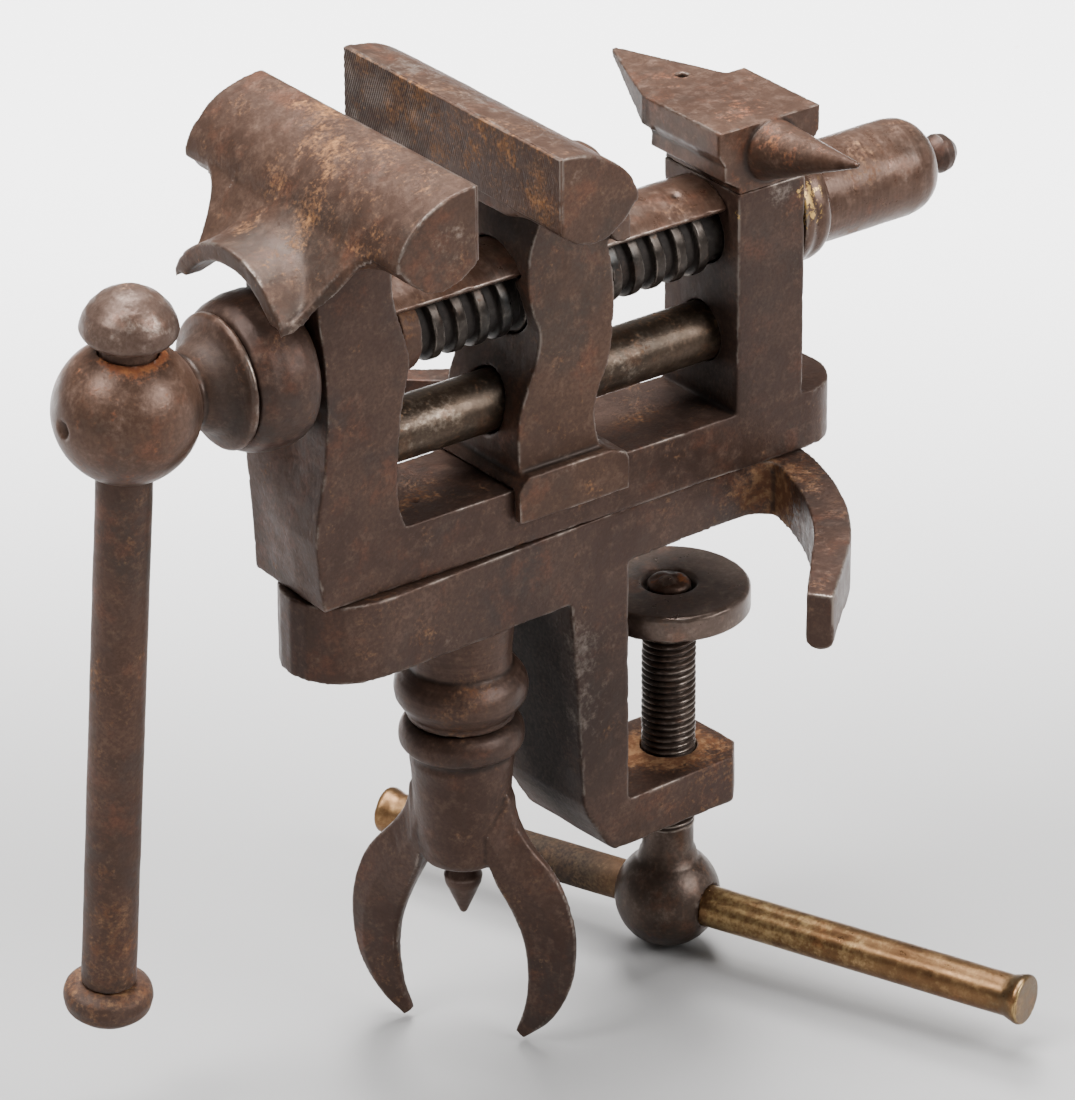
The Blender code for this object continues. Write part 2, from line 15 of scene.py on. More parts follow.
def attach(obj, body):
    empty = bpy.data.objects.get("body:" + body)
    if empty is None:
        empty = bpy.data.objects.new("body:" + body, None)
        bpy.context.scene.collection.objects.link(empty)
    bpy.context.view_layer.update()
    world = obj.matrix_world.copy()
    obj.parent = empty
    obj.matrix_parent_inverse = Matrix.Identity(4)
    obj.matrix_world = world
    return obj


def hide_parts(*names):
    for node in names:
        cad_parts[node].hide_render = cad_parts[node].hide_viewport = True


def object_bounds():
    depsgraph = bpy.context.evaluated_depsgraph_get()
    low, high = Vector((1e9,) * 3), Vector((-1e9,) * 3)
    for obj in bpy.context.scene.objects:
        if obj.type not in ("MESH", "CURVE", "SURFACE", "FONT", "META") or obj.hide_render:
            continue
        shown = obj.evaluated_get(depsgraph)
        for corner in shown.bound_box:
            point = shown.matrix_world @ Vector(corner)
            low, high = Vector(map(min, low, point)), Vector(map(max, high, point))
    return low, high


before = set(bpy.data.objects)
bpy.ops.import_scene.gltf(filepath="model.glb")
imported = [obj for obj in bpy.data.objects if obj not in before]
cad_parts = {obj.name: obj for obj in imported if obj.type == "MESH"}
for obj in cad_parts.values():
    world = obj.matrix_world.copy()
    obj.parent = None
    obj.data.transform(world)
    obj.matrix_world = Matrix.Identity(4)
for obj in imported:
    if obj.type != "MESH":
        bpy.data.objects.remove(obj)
cad_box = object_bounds()

# ---------------- sizes shared with the CAD, in mm
HALF, BED_TOP = 8.74, 9.2
FRONT_X, REAR_X0, REAR_X1 = -20.9, 52.35, 64.6
SCREW_Z, ROD_Z, ROD_R = 35.84, 19.64, 4.5
JAW_HALF, JAW_TOP, JAW_LOW = 25.5, 67.1, 54.1
FRONT_FACE, SLIDE_FACE = -5.8, 7.8
PITCH, THREAD_R, CORE_R = 3.9, 6.1, 4.95
PIVOT_X, CLAMP_SCREW_X = 8.65, 39.9
SWIVEL = radians(3.1)
BALL = Vector((-46.9, 0.0, SCREW_Z))
BALL_R = 10.4
TOMMY_LEAN = radians(6.3)
CLAMP_BALL_Z, CLAMP_BALL_R = -74.37, 8.05
BRASS_ANGLE = radians(-71.4)
CLAMP_UNDER = -8.85  # the bench seat, under the crescent
SEAT = np.array(Vector((PIVOT_X + CLAMP_SCREW_X * cos(SWIVEL), CLAMP_SCREW_X * sin(SWIVEL), CLAMP_UNDER)))


def shift(x, y, z):
    return Matrix.Translation((x, y, z))


def turn(angle, axis):
    return Matrix.Rotation(angle, 4, axis)


HOME = Matrix.Identity(4)
ALONG_X = shift(0, 0, SCREW_Z) @ turn(pi / 2, "Y")  # local z runs along the screw
ROD_LINE = shift(0, 0, ROD_Z) @ turn(pi / 2, "Y")
PIVOT = shift(PIVOT_X, 0, 0)
CLAMP = PIVOT @ turn(SWIVEL, "Z")
SPINDLE = CLAMP @ shift(CLAMP_SCREW_X, 0, 0)
TOMMY = shift(*BALL) @ turn(TOMMY_LEAN, "X")
BRASS = SPINDLE @ shift(0, 0, CLAMP_BALL_Z) @ turn(BRASS_ANGLE + pi / 2, "Z") @ turn(pi / 2, "X")


# ---------------- mesh helpers
def placed(name, data):
    obj = bpy.data.objects.new(name, data)
    bpy.context.scene.collection.objects.link(obj)
    return obj


def solid(name, points, faces, place=HOME):
    """A mesh object from points in mm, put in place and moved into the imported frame."""
    at = np.array(points, float)
    m = np.array(place)
    at = at @ m[:3, :3].T + m[:3, 3] - SEAT
    mesh = bpy.data.meshes.new(name)
    mesh.from_pydata((at * 0.001).tolist(), [], faces)
    bm = bmesh.new()
    bm.from_mesh(mesh)
    bmesh.ops.recalc_face_normals(bm, faces=bm.faces)
    bm.to_mesh(mesh)
    bm.free()
    return placed(name, mesh)


def applied(obj):
    """Turns obj's modifiers into mesh."""
    bpy.context.view_layer.update()
    graph = bpy.context.evaluated_depsgraph_get()
    mesh = bpy.data.meshes.new_from_object(obj.evaluated_get(graph))
    obj.modifiers.clear()
    old, obj.data = obj.data, mesh
    mesh.name = old.name
    bpy.data.meshes.remove(old)
    return obj


def combine(obj, others, operation):
    for other in others:
        step = obj.modifiers.new(operation, "BOOLEAN")
        step.operation, step.object, step.solver = operation, other, "EXACT"
    applied(obj)
    for other in others:
        bpy.data.objects.remove(other)
    return obj


def join(obj, *others):
    return combine(obj, others, "UNION")


def cut(obj, *others):
    return combine(obj, others, "DIFFERENCE")


def skinned(obj, voxel=0.3, rounds=4):
    """One even skin over obj, its edges eased as on worn iron."""
    skin = obj.modifiers.new("skin", "REMESH")
    skin.mode, skin.voxel_size = "VOXEL", voxel * 0.001
    ease = obj.modifiers.new("ease", "SMOOTH")
    ease.factor, ease.iterations = 0.5, rounds
    return applied(obj)


def prism(name, outline, plane, low, high, place=HOME):
    order = {"XY": (0, 1, 2), "XZ": (0, 2, 1), "YZ": (1, 2, 0)}[plane]
    count = len(outline)
    points = []
    for depth in (low, high):
        for a, b in outline:
            point = [0, 0, 0]
            for axis, value in zip(order, (a, b, depth)):
                point[axis] = value
            points.append(point)
    faces = [list(range(count)), list(range(count, 2 * count))]
    for i in range(count):
        j = (i + 1) % count
        faces.append([i, j, count + j, count + i])
    return solid(name, points, faces, place)


def loft(name, rings, place=HOME):
    count = len(rings[0])
    points = [p for ring in rings for p in ring]
    faces = [list(range(count)), list(range(len(points) - count, len(points)))]
    for i in range(len(rings) - 1):
        for j in range(count):
            k = (j + 1) % count
            a, b = i * count, (i + 1) * count
            faces.append([a + j, a + k, b + k, b + j])
    return solid(name, points, faces, place)


def rounded(profile, radius, ring):
    """The profile with its corners turned into small curves."""
    made = []
    last = len(profile) - 1
    for i, corner in enumerate(profile):
        if not ring and i in (0, last):
            made.append(corner)
            continue
        here = np.array(corner)
        before, after = np.array(profile[i - 1]), np.array(profile[(i + 1) % (last + 1)])
        back, ahead = before - here, after - here
        reach_back, reach_ahead = np.linalg.norm(back), np.linalg.norm(ahead)
        cosine = float(back @ ahead / (reach_back * reach_ahead))
        if cosine < -0.93:
            made.append(corner)
            continue
        trim = min(radius, 0.42 * reach_back, 0.42 * reach_ahead)
        start, end = here + back / reach_back * trim, here + ahead / reach_ahead * trim
        for t in (0, 0.25, 0.5, 0.75, 1):
            made.append(tuple((1 - t) ** 2 * start + 2 * t * (1 - t) * here + t**2 * end))
    return made


def stepped(profile, step, ring):
    """The profile with no segment longer than step."""
    pairs = list(zip(profile, profile[1:] + profile[:1]))
    if not ring:
        pairs = pairs[:-1]
    made = []
    for a, b in pairs:
        count = max(1, round(sqrt((a[0] - b[0]) ** 2 + (a[1] - b[1]) ** 2) / step))
        made += [(a[0] + (b[0] - a[0]) * i / count, a[1] + (b[1] - a[1]) * i / count) for i in range(count)]
    return made if ring else [*made, profile[-1]]


def lathe(name, rows, place, steps, radius_at=None, ring=False):
    """A turned piece from (radius, height) rows; radius_at fills in the rows whose radius is None."""
    points, faces, starts = [], [], []
    for r, h in rows:
        starts.append(len(points))
        around = range(1 if r == 0 else steps)
        for i in around:
            q, t = radius_at(h, i / steps) if r is None else r, 2 * pi * i / steps
            points.append((q * cos(t), q * sin(t), h))
    for a in range(len(rows) if ring else len(rows) - 1):
        b = (a + 1) % len(rows)
        one, two = (0 if rows[k][0] == 0 else 1 for k in (a, b))
        for i in range(steps):
            j = (i + 1) % steps
            corners = [starts[a] + one * i, starts[b] + two * i, starts[b] + two * j, starts[a] + one * j]
            corners = list(dict.fromkeys(corners))
            if len(corners) > 2:
                faces.append(corners)
    return solid(name, points, faces, place)


def turned(name, profile, place, steps=96, ring=False, edge=0.3, step=0.7):
    """A piece off the lathe, from (radius, height) pairs, with eased corners."""
    return lathe(name, stepped(rounded(profile, edge, ring), step, ring), place, steps, ring=ring)


def threaded(name, head, span, step, tail, radius_at, place, steps):
    """A turned piece whose middle span takes its radius from radius_at(height, share of a turn)."""
    count = int(abs(span[1] - span[0]) / (step * 1))
    rows = [*head, *[(None, float(h)) for h in np.linspace(*span, count)], *tail]
    return lathe(name, rows, place, steps, radius_at)


def rod(name, radius, low, high, place, steps=64):
    profile = [(0, high), (radius, high), (radius, low), (0, low)]
    return turned(name, profile, place, steps, edge=0.01, step=400)


def arc(centre, radius, start, end, steps):
    cx, cy = centre
    angles = [radians(start + (end - start) * i / steps) for i in range(steps + 1)]
    return [(cx + radius * cos(t), cy + radius * sin(t)) for t in angles]


def curve(points, steps=8):
    """A smooth line through the points."""
    ends = [points[0], *points, points[-1]]
    made = []
    for a, b, c, d in zip(ends, ends[1:], ends[2:], ends[3:]):
        for i in range(steps):
            t = i / steps
            made.append(tuple(
                0.5 * (2 * q + (r - p) * t + (2 * p - 5 * q + 4 * r - s) * t**2
                       + (3 * q - p - 3 * r + s) * t**3)
                for p, q, r, s in zip(a, b, c, d)
            ))
    return [*made, points[-1]]


def mirrored(points):
    return points + [(x, -y) for x, y in reversed(points) if abs(y) > 1e-6]


def ball_arc(centre, radius, low_r, high_r, steps):
    start = asin(min(1.0, high_r / radius))
    end = pi - asin(min(1.0, low_r / radius))
    angles = [start + (end - start) * i / steps for i in range(steps + 1)]
    return [(radius * sin(t), centre + radius * cos(t)) for t in angles]


# ---------------- wear, worked out from each mesh
def spots(at, size, seed, octaves=3):
    """A smooth random field between about -1 and 1 over points in mm."""
    rng = np.random.default_rng(seed)
    field = np.zeros(len(at))
    for octave in range(octaves):
        for _ in range(6):
            way = rng.normal(size=3)
            way *= 2 * pi / (size / 2**octave) / np.linalg.norm(way) * rng.uniform(0.6, 1.3)
            field += np.sin(at @ way + rng.uniform(0, 2 * pi)) / 3.2 / 1.7**octave
    return field


def read(mesh):
    at = np.empty(len(mesh.vertices) * 3, np.float32)
    mesh.vertices.foreach_get("co", at)
    return at.reshape(-1, 3).astype(float) * 1000 + SEAT


def write(mesh, at):
    mesh.vertices.foreach_set("co", ((at - SEAT) * 0.001).astype(np.float32).ravel())
    mesh.update()


def normals_of(mesh):
    made = np.empty(len(mesh.vertices) * 3, np.float32)
    mesh.vertex_normals.foreach_get("vector", made)
    return made.reshape(-1, 3).astype(float)


def neighbours(mesh):
    ends = np.empty(len(mesh.edges) * 2, np.int32)
    mesh.edges.foreach_get("vertices", ends)
    ends = ends.reshape(-1, 2)
    return np.concatenate([ends[:, 0], ends[:, 1]]), np.concatenate([ends[:, 1], ends[:, 0]])


def spread(values, here, there, times):
    count = np.maximum(np.bincount(here, minlength=len(values)), 1)
    for _ in range(times):
        values = 0.5 * values + 0.5 * np.bincount(here, values[there], len(values)) / count
    return values


def bend(mesh, at):
    """How sharply the skin bends at each point, in 1/mm: above 0 on edges, below in hollows."""
    here, there = neighbours(mesh)
    gap = at[there] - at[here]
    length = np.maximum((gap**2).sum(1), 1e-9)
    pull = -2 * (gap * normals_of(mesh)[here]).sum(1) / length
    count = np.maximum(np.bincount(here, minlength=len(at)), 1)
    return np.bincount(here, pull, len(at)) / count, here, there


def smoothstep(low, high, values):
    t = np.clip((values - low) / (high - low), 0, 1)
    return t * t * (3 - 2 * t)


def blobs(at, places):
    """Soft patches: each place is (x, y, z, radius, strength)."""
    field = np.zeros(len(at))
    for x, y, z, radius, strength in places:
        far = np.linalg.norm(at - np.array((x, y, z)), axis=1) / radius
        field += strength * np.exp(-far**2 * 1.6)
    return field


def store(mesh, name, values):
    layer = mesh.attributes.get(name) or mesh.attributes.new(name, "FLOAT", "POINT")
    layer.data.foreach_set("value", values.astype(np.float32))


def weather(obj, seed, rust=(), bare=(), grime_and_shade=(), braze=(), dents=(), swell=0.05, size=9.0, chips=0.05,
            soften=1):
    """Hand-worked unevenness and chipped edges, then the fields that the materials read."""
    mesh = obj.data
    at = read(mesh)
    sharp, here, there = bend(mesh, at)
    edge = smoothstep(0.25, 1.0, spread(sharp, here, there, 2))
    way = normals_of(mesh)
    push = 0.6 * swell * spots(at, size, seed)
    push -= chips * edge * np.clip(spots(at, 3.5, seed + 1) - 0.35, 0, 1) * 2
    for x, y, z, radius, depth in dents:
        far = np.linalg.norm(at - np.array((x, y, z)), axis=1) / radius
        push -= depth * np.exp(-far**2 * 2)
    lowest, highest = (np.array(corner) * 1000 + SEAT for corner in cad_box)
    write(mesh, np.clip(at + way * push[:, None], lowest, highest))
    at = read(mesh)
    sharp, here, there = bend(mesh, at)
    sharp = spread(sharp, here, there, soften)
    store(mesh, "edge", smoothstep(0.4, 1.3, sharp))
    # the hollow field darkens concave places in the materials: dirt, and also painted shade
    store(mesh, "hollow", spread(smoothstep(0.06, 0.5, -sharp), here, there, 6))
    store(mesh, "rust", blobs(at, rust))
    # bare places: worn metal, and in some places a painted sheen
    store(mesh, "bare", blobs(at, bare))
    store(mesh, "grime_and_shade", np.clip(blobs(at, grime_and_shade), 0, 1))
    store(mesh, "braze", blobs(at, braze))
    mesh.polygons.foreach_set("use_smooth", [True] * len(mesh.polygons))
    return obj


# ---------------- materials
class Graph:
    """Short names for the nodes of one material."""

    def __init__(self, name):
        self.material = bpy.data.materials.new(name)
        self.material.use_nodes = True
        self.tree = self.material.node_tree
        self.shader = self.tree.nodes["Principled BSDF"]
        self.at = self.node("ShaderNodeTexCoord").outputs["Object"]

    def node(self, kind, feeds=(), **settings):
        """A node with its settings made and then its inputs fed."""
        made = self.tree.nodes.new(kind)
        for key, value in settings.items():
            setattr(made, key, value)
        for key, value in dict(feeds).items():
            self.feed(made.inputs[key], value)
        return made

    def feed(self, socket, value):
        if isinstance(value, bpy.types.NodeSocket):
            self.tree.links.new(value, socket)
        elif isinstance(value, tuple) and len(value) == 3 and socket.type == "RGBA":
            socket.default_value = (*value, 1.0)
        else:
            socket.default_value = value

    def shade(self, name, value):
        self.feed(self.shader.inputs[name], value)

    def stretched(self, x, y, z):
        return self.node("ShaderNodeMapping", {"Vector": self.at, "Scale": (x, y, z)}).outputs["Vector"]

    def noise(self, size, detail=4.0, rough=0.55, at=None, warp=0.0):
        """Noise with patches of about size mm."""
        feeds = {"Vector": at or self.at, "Scale": 1000 / size, "Detail": detail, "Roughness": rough,
                 "Distortion": warp}
        return self.node("ShaderNodeTexNoise", feeds).outputs["Fac"]

    def pits(self, size):
        feeds = {"Vector": self.at, "Scale": 1000 / size}
        return self.node("ShaderNodeTexVoronoi", feeds).outputs["Distance"]

    def field(self, name):
        return self.node("ShaderNodeAttribute", attribute_name=name).outputs["Fac"]

    def math(self, operation, a, b):
        return self.node("ShaderNodeMath", {0: a, 1: b}, operation=operation).outputs[0]

    def times(self, a, b):
        return self.math("MULTIPLY", a, b)

    def plus(self, a, b):
        return self.math("ADD", a, b)

    def range(self, value, low, high, to_low=0.0, to_high=1.0):
        feeds = {"Value": value, "From Min": low, "From Max": high, "To Min": to_low, "To Max": to_high}
        return self.node("ShaderNodeMapRange", feeds, interpolation_type="SMOOTHSTEP").outputs["Result"]

    def mix(self, share, a, b, kind="RGBA"):
        return self.node("ShaderNodeMix", {"Factor": share, "A": a, "B": b}, data_type=kind).outputs["Result"]

    def blend(self, share, a, b):
        return self.mix(share, a, b, "FLOAT")

    def bump(self, height, depth, strength):
        feeds = {"Height": height, "Distance": depth * 0.001, "Strength": strength}
        return self.node("ShaderNodeBump", feeds).outputs["Normal"]


# The first two colours here are near-black: they stand for dirt and also paint shade into hollows, recesses
# and faces in shadow.
HOLLOW_DIRT_AND_SHADE, CAKED_DIRT_AND_SHADE, BRAZE = (0.012, 0.008, 0.006), (0.01, 0.0065, 0.005), (0.5, 0.31, 0.1)


def aged_metal(name, tones, bare=(0.36, 0.31, 0.27), rust=(0.12, 0.047, 0.018), pale=(0.25, 0.13, 0.06),
               rusty=0.0, grain=None, metallic=0.45, rough=0.47, grit=1.0):
    """Old dark metal: mottled skin, rust freckles and patches, edges and patches of bare metal that are
    partly wear and partly painted highlight and sheen, dirt and painted shade in the hollows.

    tones are the skin's dark, body and light colours; grain stretches fine lines along the piece.
    """
    g = Graph(name)
    dark, body, light = tones
    middle = g.noise(2.2, 5.0, 0.66)
    fine = g.noise(0.6, 3.0, 0.6)
    cool = tuple(0.5 * (d + b) * k for d, b, k in zip(dark, body, (0.66, 0.92, 1.12)))
    warm = tuple(b * k for b, k in zip(body, (1.5, 1.08, 0.9)))
    skin = g.mix(g.range(g.noise(13.0, 3.0, 0.55, warp=0.4), 0.3, 0.7, 0.1, 0.9), dark, body)
    skin = g.mix(g.range(g.noise(17.0, 4.0, 0.6), 0.5, 0.66, 0.0, 0.7), skin, cool)
    skin = g.mix(g.range(g.noise(8.0, 6.0, 0.7), 0.52, 0.68, 0.0, 0.6), skin, warm)
    skin = g.mix(g.range(middle, 0.46, 0.74, 0.0, 0.6), skin, light)
    skin = g.mix(g.range(fine, 0.36, 0.62, 0.5, 0.0), skin, dark)
    if grain:
        lines = g.noise(1.0, 4.0, 0.6, at=g.stretched(*grain))
        skin = g.mix(g.range(lines, 0.4, 0.7, 0.0, 0.18), skin, light)

    patch = g.plus(g.times(g.noise(5.5, 7.0, 0.72), 0.62), g.times(fine, 0.38))
    patch = g.plus(patch, g.plus(g.times(g.field("rust"), 0.13), rusty * 0.1))
    rusted = g.range(patch, 0.56, 0.74)
    orange = g.mix(g.range(g.noise(1.3, 4.0, 0.6), 0.42, 0.66), rust, pale)
    skin = g.mix(g.times(rusted, 0.75), skin, orange)

    # The edges and the bare places take the bare colour: worn metal, and also painted highlight and sheen.
    worn = g.times(g.field("edge"), g.range(g.noise(6.0, 5.0, 0.65), 0.44, 0.62, 0.0, 0.8))
    scuffs_and_sheen = g.plus(g.times(middle, 0.5), g.times(fine, 0.25))
    scuffs_and_sheen = g.range(g.plus(g.times(g.field("bare"), 0.25), scuffs_and_sheen), 0.5, 0.74)
    shown = g.math("MINIMUM", g.plus(worn, g.times(scuffs_and_sheen, 0.8)), 1.0)
    skin = g.mix(g.times(shown, 0.6), skin, bare)

    # Painted shade: the hollow field and the grime field pull the colour to near black, for dirt and also for
    # shade in recesses and on faces that lie in shadow.
    skin = g.mix(g.range(g.field("hollow"), 0.05, 0.9, 0.0, 0.75), skin, HOLLOW_DIRT_AND_SHADE)
    grime_and_shade = g.times(g.field("grime_and_shade"), g.range(fine, 0.3, 0.7, 0.95, 0.75))
    skin = g.mix(grime_and_shade, skin, CAKED_DIRT_AND_SHADE)
    braze = g.range(g.plus(g.times(g.field("braze"), 0.16), g.noise(0.9, 4.0, 0.65)), 0.6, 0.68)
    skin = g.mix(g.times(braze, g.range(g.field("braze"), 0.1, 0.4)), skin, BRAZE)

    gloss = g.blend(g.range(middle, 0.3, 0.7), rough - 0.07, rough + 0.1)
    gloss = g.blend(shown, g.blend(rusted, gloss, 0.8), max(0.26, rough - 0.13))
    height = g.plus(g.times(fine, 0.5), g.times(middle, 0.9))
    height = g.plus(height, g.times(g.range(g.pits(1.3), 0.0, 0.34), 0.3))
    height = g.plus(height, g.times(rusted, 0.35))
    if grain:
        height = g.plus(height, g.times(lines, 0.35))
    g.shade("Base Color", skin)
    g.shade("Metallic", g.blend(grime_and_shade, g.blend(shown, g.blend(rusted, metallic, 0.1), 0.9), 0.0))
    g.shade("Roughness", g.blend(grime_and_shade, gloss, 0.85))
    g.shade("Specular IOR Level", 0.3)
    g.shade("Normal", g.bump(height, 0.085 * grit, 0.75))
    return g.material


IRON = (0.036, 0.019, 0.0135), (0.068, 0.038, 0.027), (0.115, 0.07, 0.051)
JAW = (0.047, 0.0245, 0.0165), (0.088, 0.049, 0.033), (0.145, 0.087, 0.06)
RUSTY = (0.045, 0.0235, 0.016), (0.084, 0.046, 0.032), (0.13, 0.077, 0.053)
SMOOTH = (0.052, 0.027, 0.018), (0.1, 0.056, 0.038), (0.165, 0.102, 0.075)
KNOB = (0.065, 0.038, 0.028), (0.13, 0.085, 0.066), (0.2, 0.145, 0.118)
WORN = (0.034, 0.022, 0.015), (0.074, 0.051, 0.035), (0.14, 0.104, 0.076)
DARK = (0.036, 0.024, 0.018), (0.076, 0.051, 0.039), (0.13, 0.095, 0.076)
PAD = (0.075, 0.052, 0.042), (0.14, 0.1, 0.08), (0.22, 0.165, 0.135)
THREAD = (0.022, 0.017, 0.014), (0.05, 0.041, 0.035), (0.12, 0.104, 0.09)
OLD_BRASS = (0.12, 0.06, 0.027), (0.23, 0.135, 0.063), (0.36, 0.225, 0.105)

materials = {
    "iron": aged_metal("aged_iron", IRON, rusty=-0.1),
    "jaw": aged_metal("jaw_iron", JAW, rust=(0.17, 0.075, 0.028), pale=(0.36, 0.165, 0.06), rough=0.5),
    "turned_x": aged_metal("turned_iron_x", SMOOTH, grain=(2.2, 0.12, 0.12), rough=0.33, grit=0.6),
    "turned_z": aged_metal("turned_iron_z", IRON, rusty=0.1, grain=(0.12, 0.12, 2.2), rough=0.44, grit=0.7),
    "rusty": aged_metal("rusty_iron", RUSTY, rusty=-0.1, rough=0.56),
    "smooth": aged_metal("handled_iron", SMOOTH, rust=(0.2, 0.055, 0.017), pale=(0.31, 0.108, 0.032),
                         rough=0.38, grit=0.7),
    "knob": aged_metal("handled_steel", KNOB, metallic=0.5, rough=0.4, grit=0.9),
    "worn": aged_metal("worn_steel", WORN, bare=(0.36, 0.3, 0.24), rusty=0.1, metallic=0.7, rough=0.38,
                       grit=0.7),
    "dark": aged_metal("dark_steel", DARK, metallic=0.6, rough=0.38, grit=0.6),
    "pad": aged_metal("pad_steel", PAD, metallic=0.6, rough=0.34, grit=0.6),
    "thread": aged_metal("thread_steel", THREAD, metallic=0.8, rough=0.34, grit=0.15),
    "brass": aged_metal("old_brass", OLD_BRASS, bare=(0.56, 0.4, 0.18), rust=(0.09, 0.038, 0.014),
                        pale=(0.15, 0.07, 0.025), metallic=0.9, rough=0.34, rusty=0.1, grit=0.35),
}


def finished(obj, node, body, kind):
    obj.data.materials.clear()
    obj.data.materials.append(materials[kind])
    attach(obj, body)
    if node:
        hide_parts(node)
    return obj


def parted(obj, kind, chosen):
    """Gives the faces that chosen picks, by their middle points in mm, a material of their own."""
    obj.data.materials.append(materials[kind])
    centres = np.empty(len(obj.data.polygons) * 3, np.float32)
    obj.data.polygons.foreach_get("center", centres)
    centres = centres.reshape(-1, 3) * 1000 + SEAT
    obj.data.polygons.foreach_set("material_index", chosen(centres).astype(np.int32))


# ---------------- jaw heads
def smooth_max(a, b, blend):
    h = np.maximum(blend - np.abs(a - b), 0.0) / blend
    return np.maximum(a, b) + h * h * blend / 4


def slab(name, front, back, flat_back=False):
    """A closed piece from two grids of points, one behind the other; flat_back makes the back one face."""
    rows, columns = front.shape[:2]
    layer = rows * columns
    faces = []
    for i in range(rows - 1):
        for j in range(columns - 1):
            a = i * columns + j
            quad = [a, a + 1, a + columns + 1, a + columns]
            faces += [quad] if flat_back else [quad, [layer + k for k in quad]]
    rim = list(range(columns)) + [i * columns + columns - 1 for i in range(1, rows)]
    rim += [(rows - 1) * columns + j for j in range(columns - 2, -1, -1)]
    rim += [i * columns for i in range(rows - 2, 0, -1)]
    faces += [[a, b, layer + b, layer + a] for a, b in zip(rim, rim[1:] + rim[:1])]
    if flat_back:
        faces.append([layer + k for k in rim])
    used = sorted({k for face in faces for k in face})
    index = {k: n for n, k in enumerate(used)}
    points = np.concatenate([front.reshape(-1, 3), back.reshape(-1, 3)])[used]
    return solid(name, points, [[index[k] for k in face] for face in faces])


def jaw_head(name, face, way, vault, inside, lip, wall, rise):
    """The wide bar whose rounded back runs into a short half-round vault, flared by rise where they meet.

    vault and inside are the (radius, height) of the vault's skin and of the hollow under it, lip is the
    height of its lower rim, and wall how far behind the face the hollow starts. In here u is the distance
    behind the clamping face and v is y.
    """
    (vault_r, vault_z), (inner_r, inner_z) = vault, inside
    bar, bar_back, reach, shoulder_z = 13.7, 13.6, 24.2, 57
    recess = 0.3  # leaves room for the file cuts in front
    edge = sqrt(vault_r**2 - (lip - vault_z) ** 2)
    inner_edge = sqrt(inner_r**2 - (lip - inner_z) ** 2)
    side = HALF + 0.46
    rows, columns = ((150, 78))
    v = np.linspace(-JAW_HALF, JAW_HALF, rows)[:, None] * np.ones((1, columns))
    share = np.linspace(0, 1, columns)[None, :] * np.ones((rows, 1))
    t = np.clip((np.abs(v) - edge) / 8.0, 0, 1)
    narrowing = bar_back + (reach - bar_back) * (1 - np.sqrt(1 - (1 - t) ** 2))
    u = share * np.where(np.abs(v) <= edge, reach, narrowing)
    rounded_back = shoulder_z + (JAW_TOP - shoulder_z) * np.sqrt(np.clip(1 - (u / bar) ** 2, 0, 1))
    rounded_back -= 3 * np.clip(u - bar, 0, None)
    cove = 59.0 - 1.35 * (u - 13.2) - 9 * np.clip(12.2 - u, 0, None)
    flare = rise * np.exp(-np.clip(u - bar + 1, 0, None) / 3.6)
    over_vault = vault_z + flare + np.sqrt(np.clip(vault_r**2 - v**2, 0, None))
    over_vault -= 2 * np.clip(np.abs(v) - vault_r, 0, None)
    soft = 0.7 + 1.9 * np.clip((np.abs(v) - 8) / 5, 0, 1)
    top = smooth_max(smooth_max(rounded_back, cove, 1.2), over_vault, soft)
    low = JAW_LOW - (JAW_LOW - lip) * np.clip((u - 13.2) / 8.3, 0, 1)
    arch = np.maximum(low, inner_z + np.sqrt(np.clip(inner_r**2 - v**2, 0, None)))
    belly = np.interp(u, (0, 3, 6, 8.5, 11.5, 13.6), (55.8, 53.7, 52.9, 53.3, 55.4, 58.2))
    low = low + (belly - low) * smoothstep(edge + 1.5, edge + 7, np.abs(v))
    under = np.where(u < wall - 0.15, np.where(np.abs(v) < side, JAW_LOW, low),
                     np.where(np.abs(v) < inner_edge, arch, low))
    under = np.minimum(under, top - 1.5)
    x = face + way * np.maximum(u, recess)
    return slab(name, *[np.stack([x, v, h], -1) for h in (top, under)])


TOOTH, TOOTH_PITCH, TOOTH_LEAN = 0.1, 0.5, -0.36


def file_cuts(name, body, seed, face, way, **fields):
    """The clamping face with its rows of fine, slightly slanting file cuts, dirty at their bottoms."""
    rows, columns = ((110, 560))
    wide, low, high = JAW_HALF - 0.1, 56.0, JAW_TOP - 0.12
    y = np.linspace(-wide, wide, columns)[None, :] * np.ones((rows, 1))
    z = np.linspace(low, high, rows)[:, None] * np.ones((1, columns))
    flat = np.stack([np.full_like(y, face), y, z], -1).reshape(-1, 3)
    fade = smoothstep(-6, 16, y + 8 * spots(flat, 11.0, 71 + int(way)).reshape(y.shape))
    cross = 0.35 * np.sin(2 * pi * (z * 1.3 + y * 0.35) / 1.1)
    wave = np.abs(((y + TOOTH_LEAN * z + 0.02 * np.sin(z * 2)) / TOOTH_PITCH) % 1 - 0.5) * 2
    depth = TOOTH * (0.12 + 0.88 * fade) * (wave + 0.2 * cross) + 0.02
    rim = np.minimum(np.minimum(y + wide, wide - y), np.minimum(z - low, high - z))
    depth = np.where(rim < 0.05, 0.35, depth)
    teeth = slab(name, *[np.stack([face + way * d, y, z], -1) for d in (depth, np.full_like(y, 0.9))], True)
    weather(teeth, seed, swell=0.0, chips=0.0, soften=0, **fields)
    deep = way * (read(teeth.data)[:, 0] - face)
    store(teeth.data, "grime_and_shade", 0.25 * smoothstep(0.3 * TOOTH, TOOTH, deep) * (deep < 0.3))
    finished(teeth, None, body, "jaw")


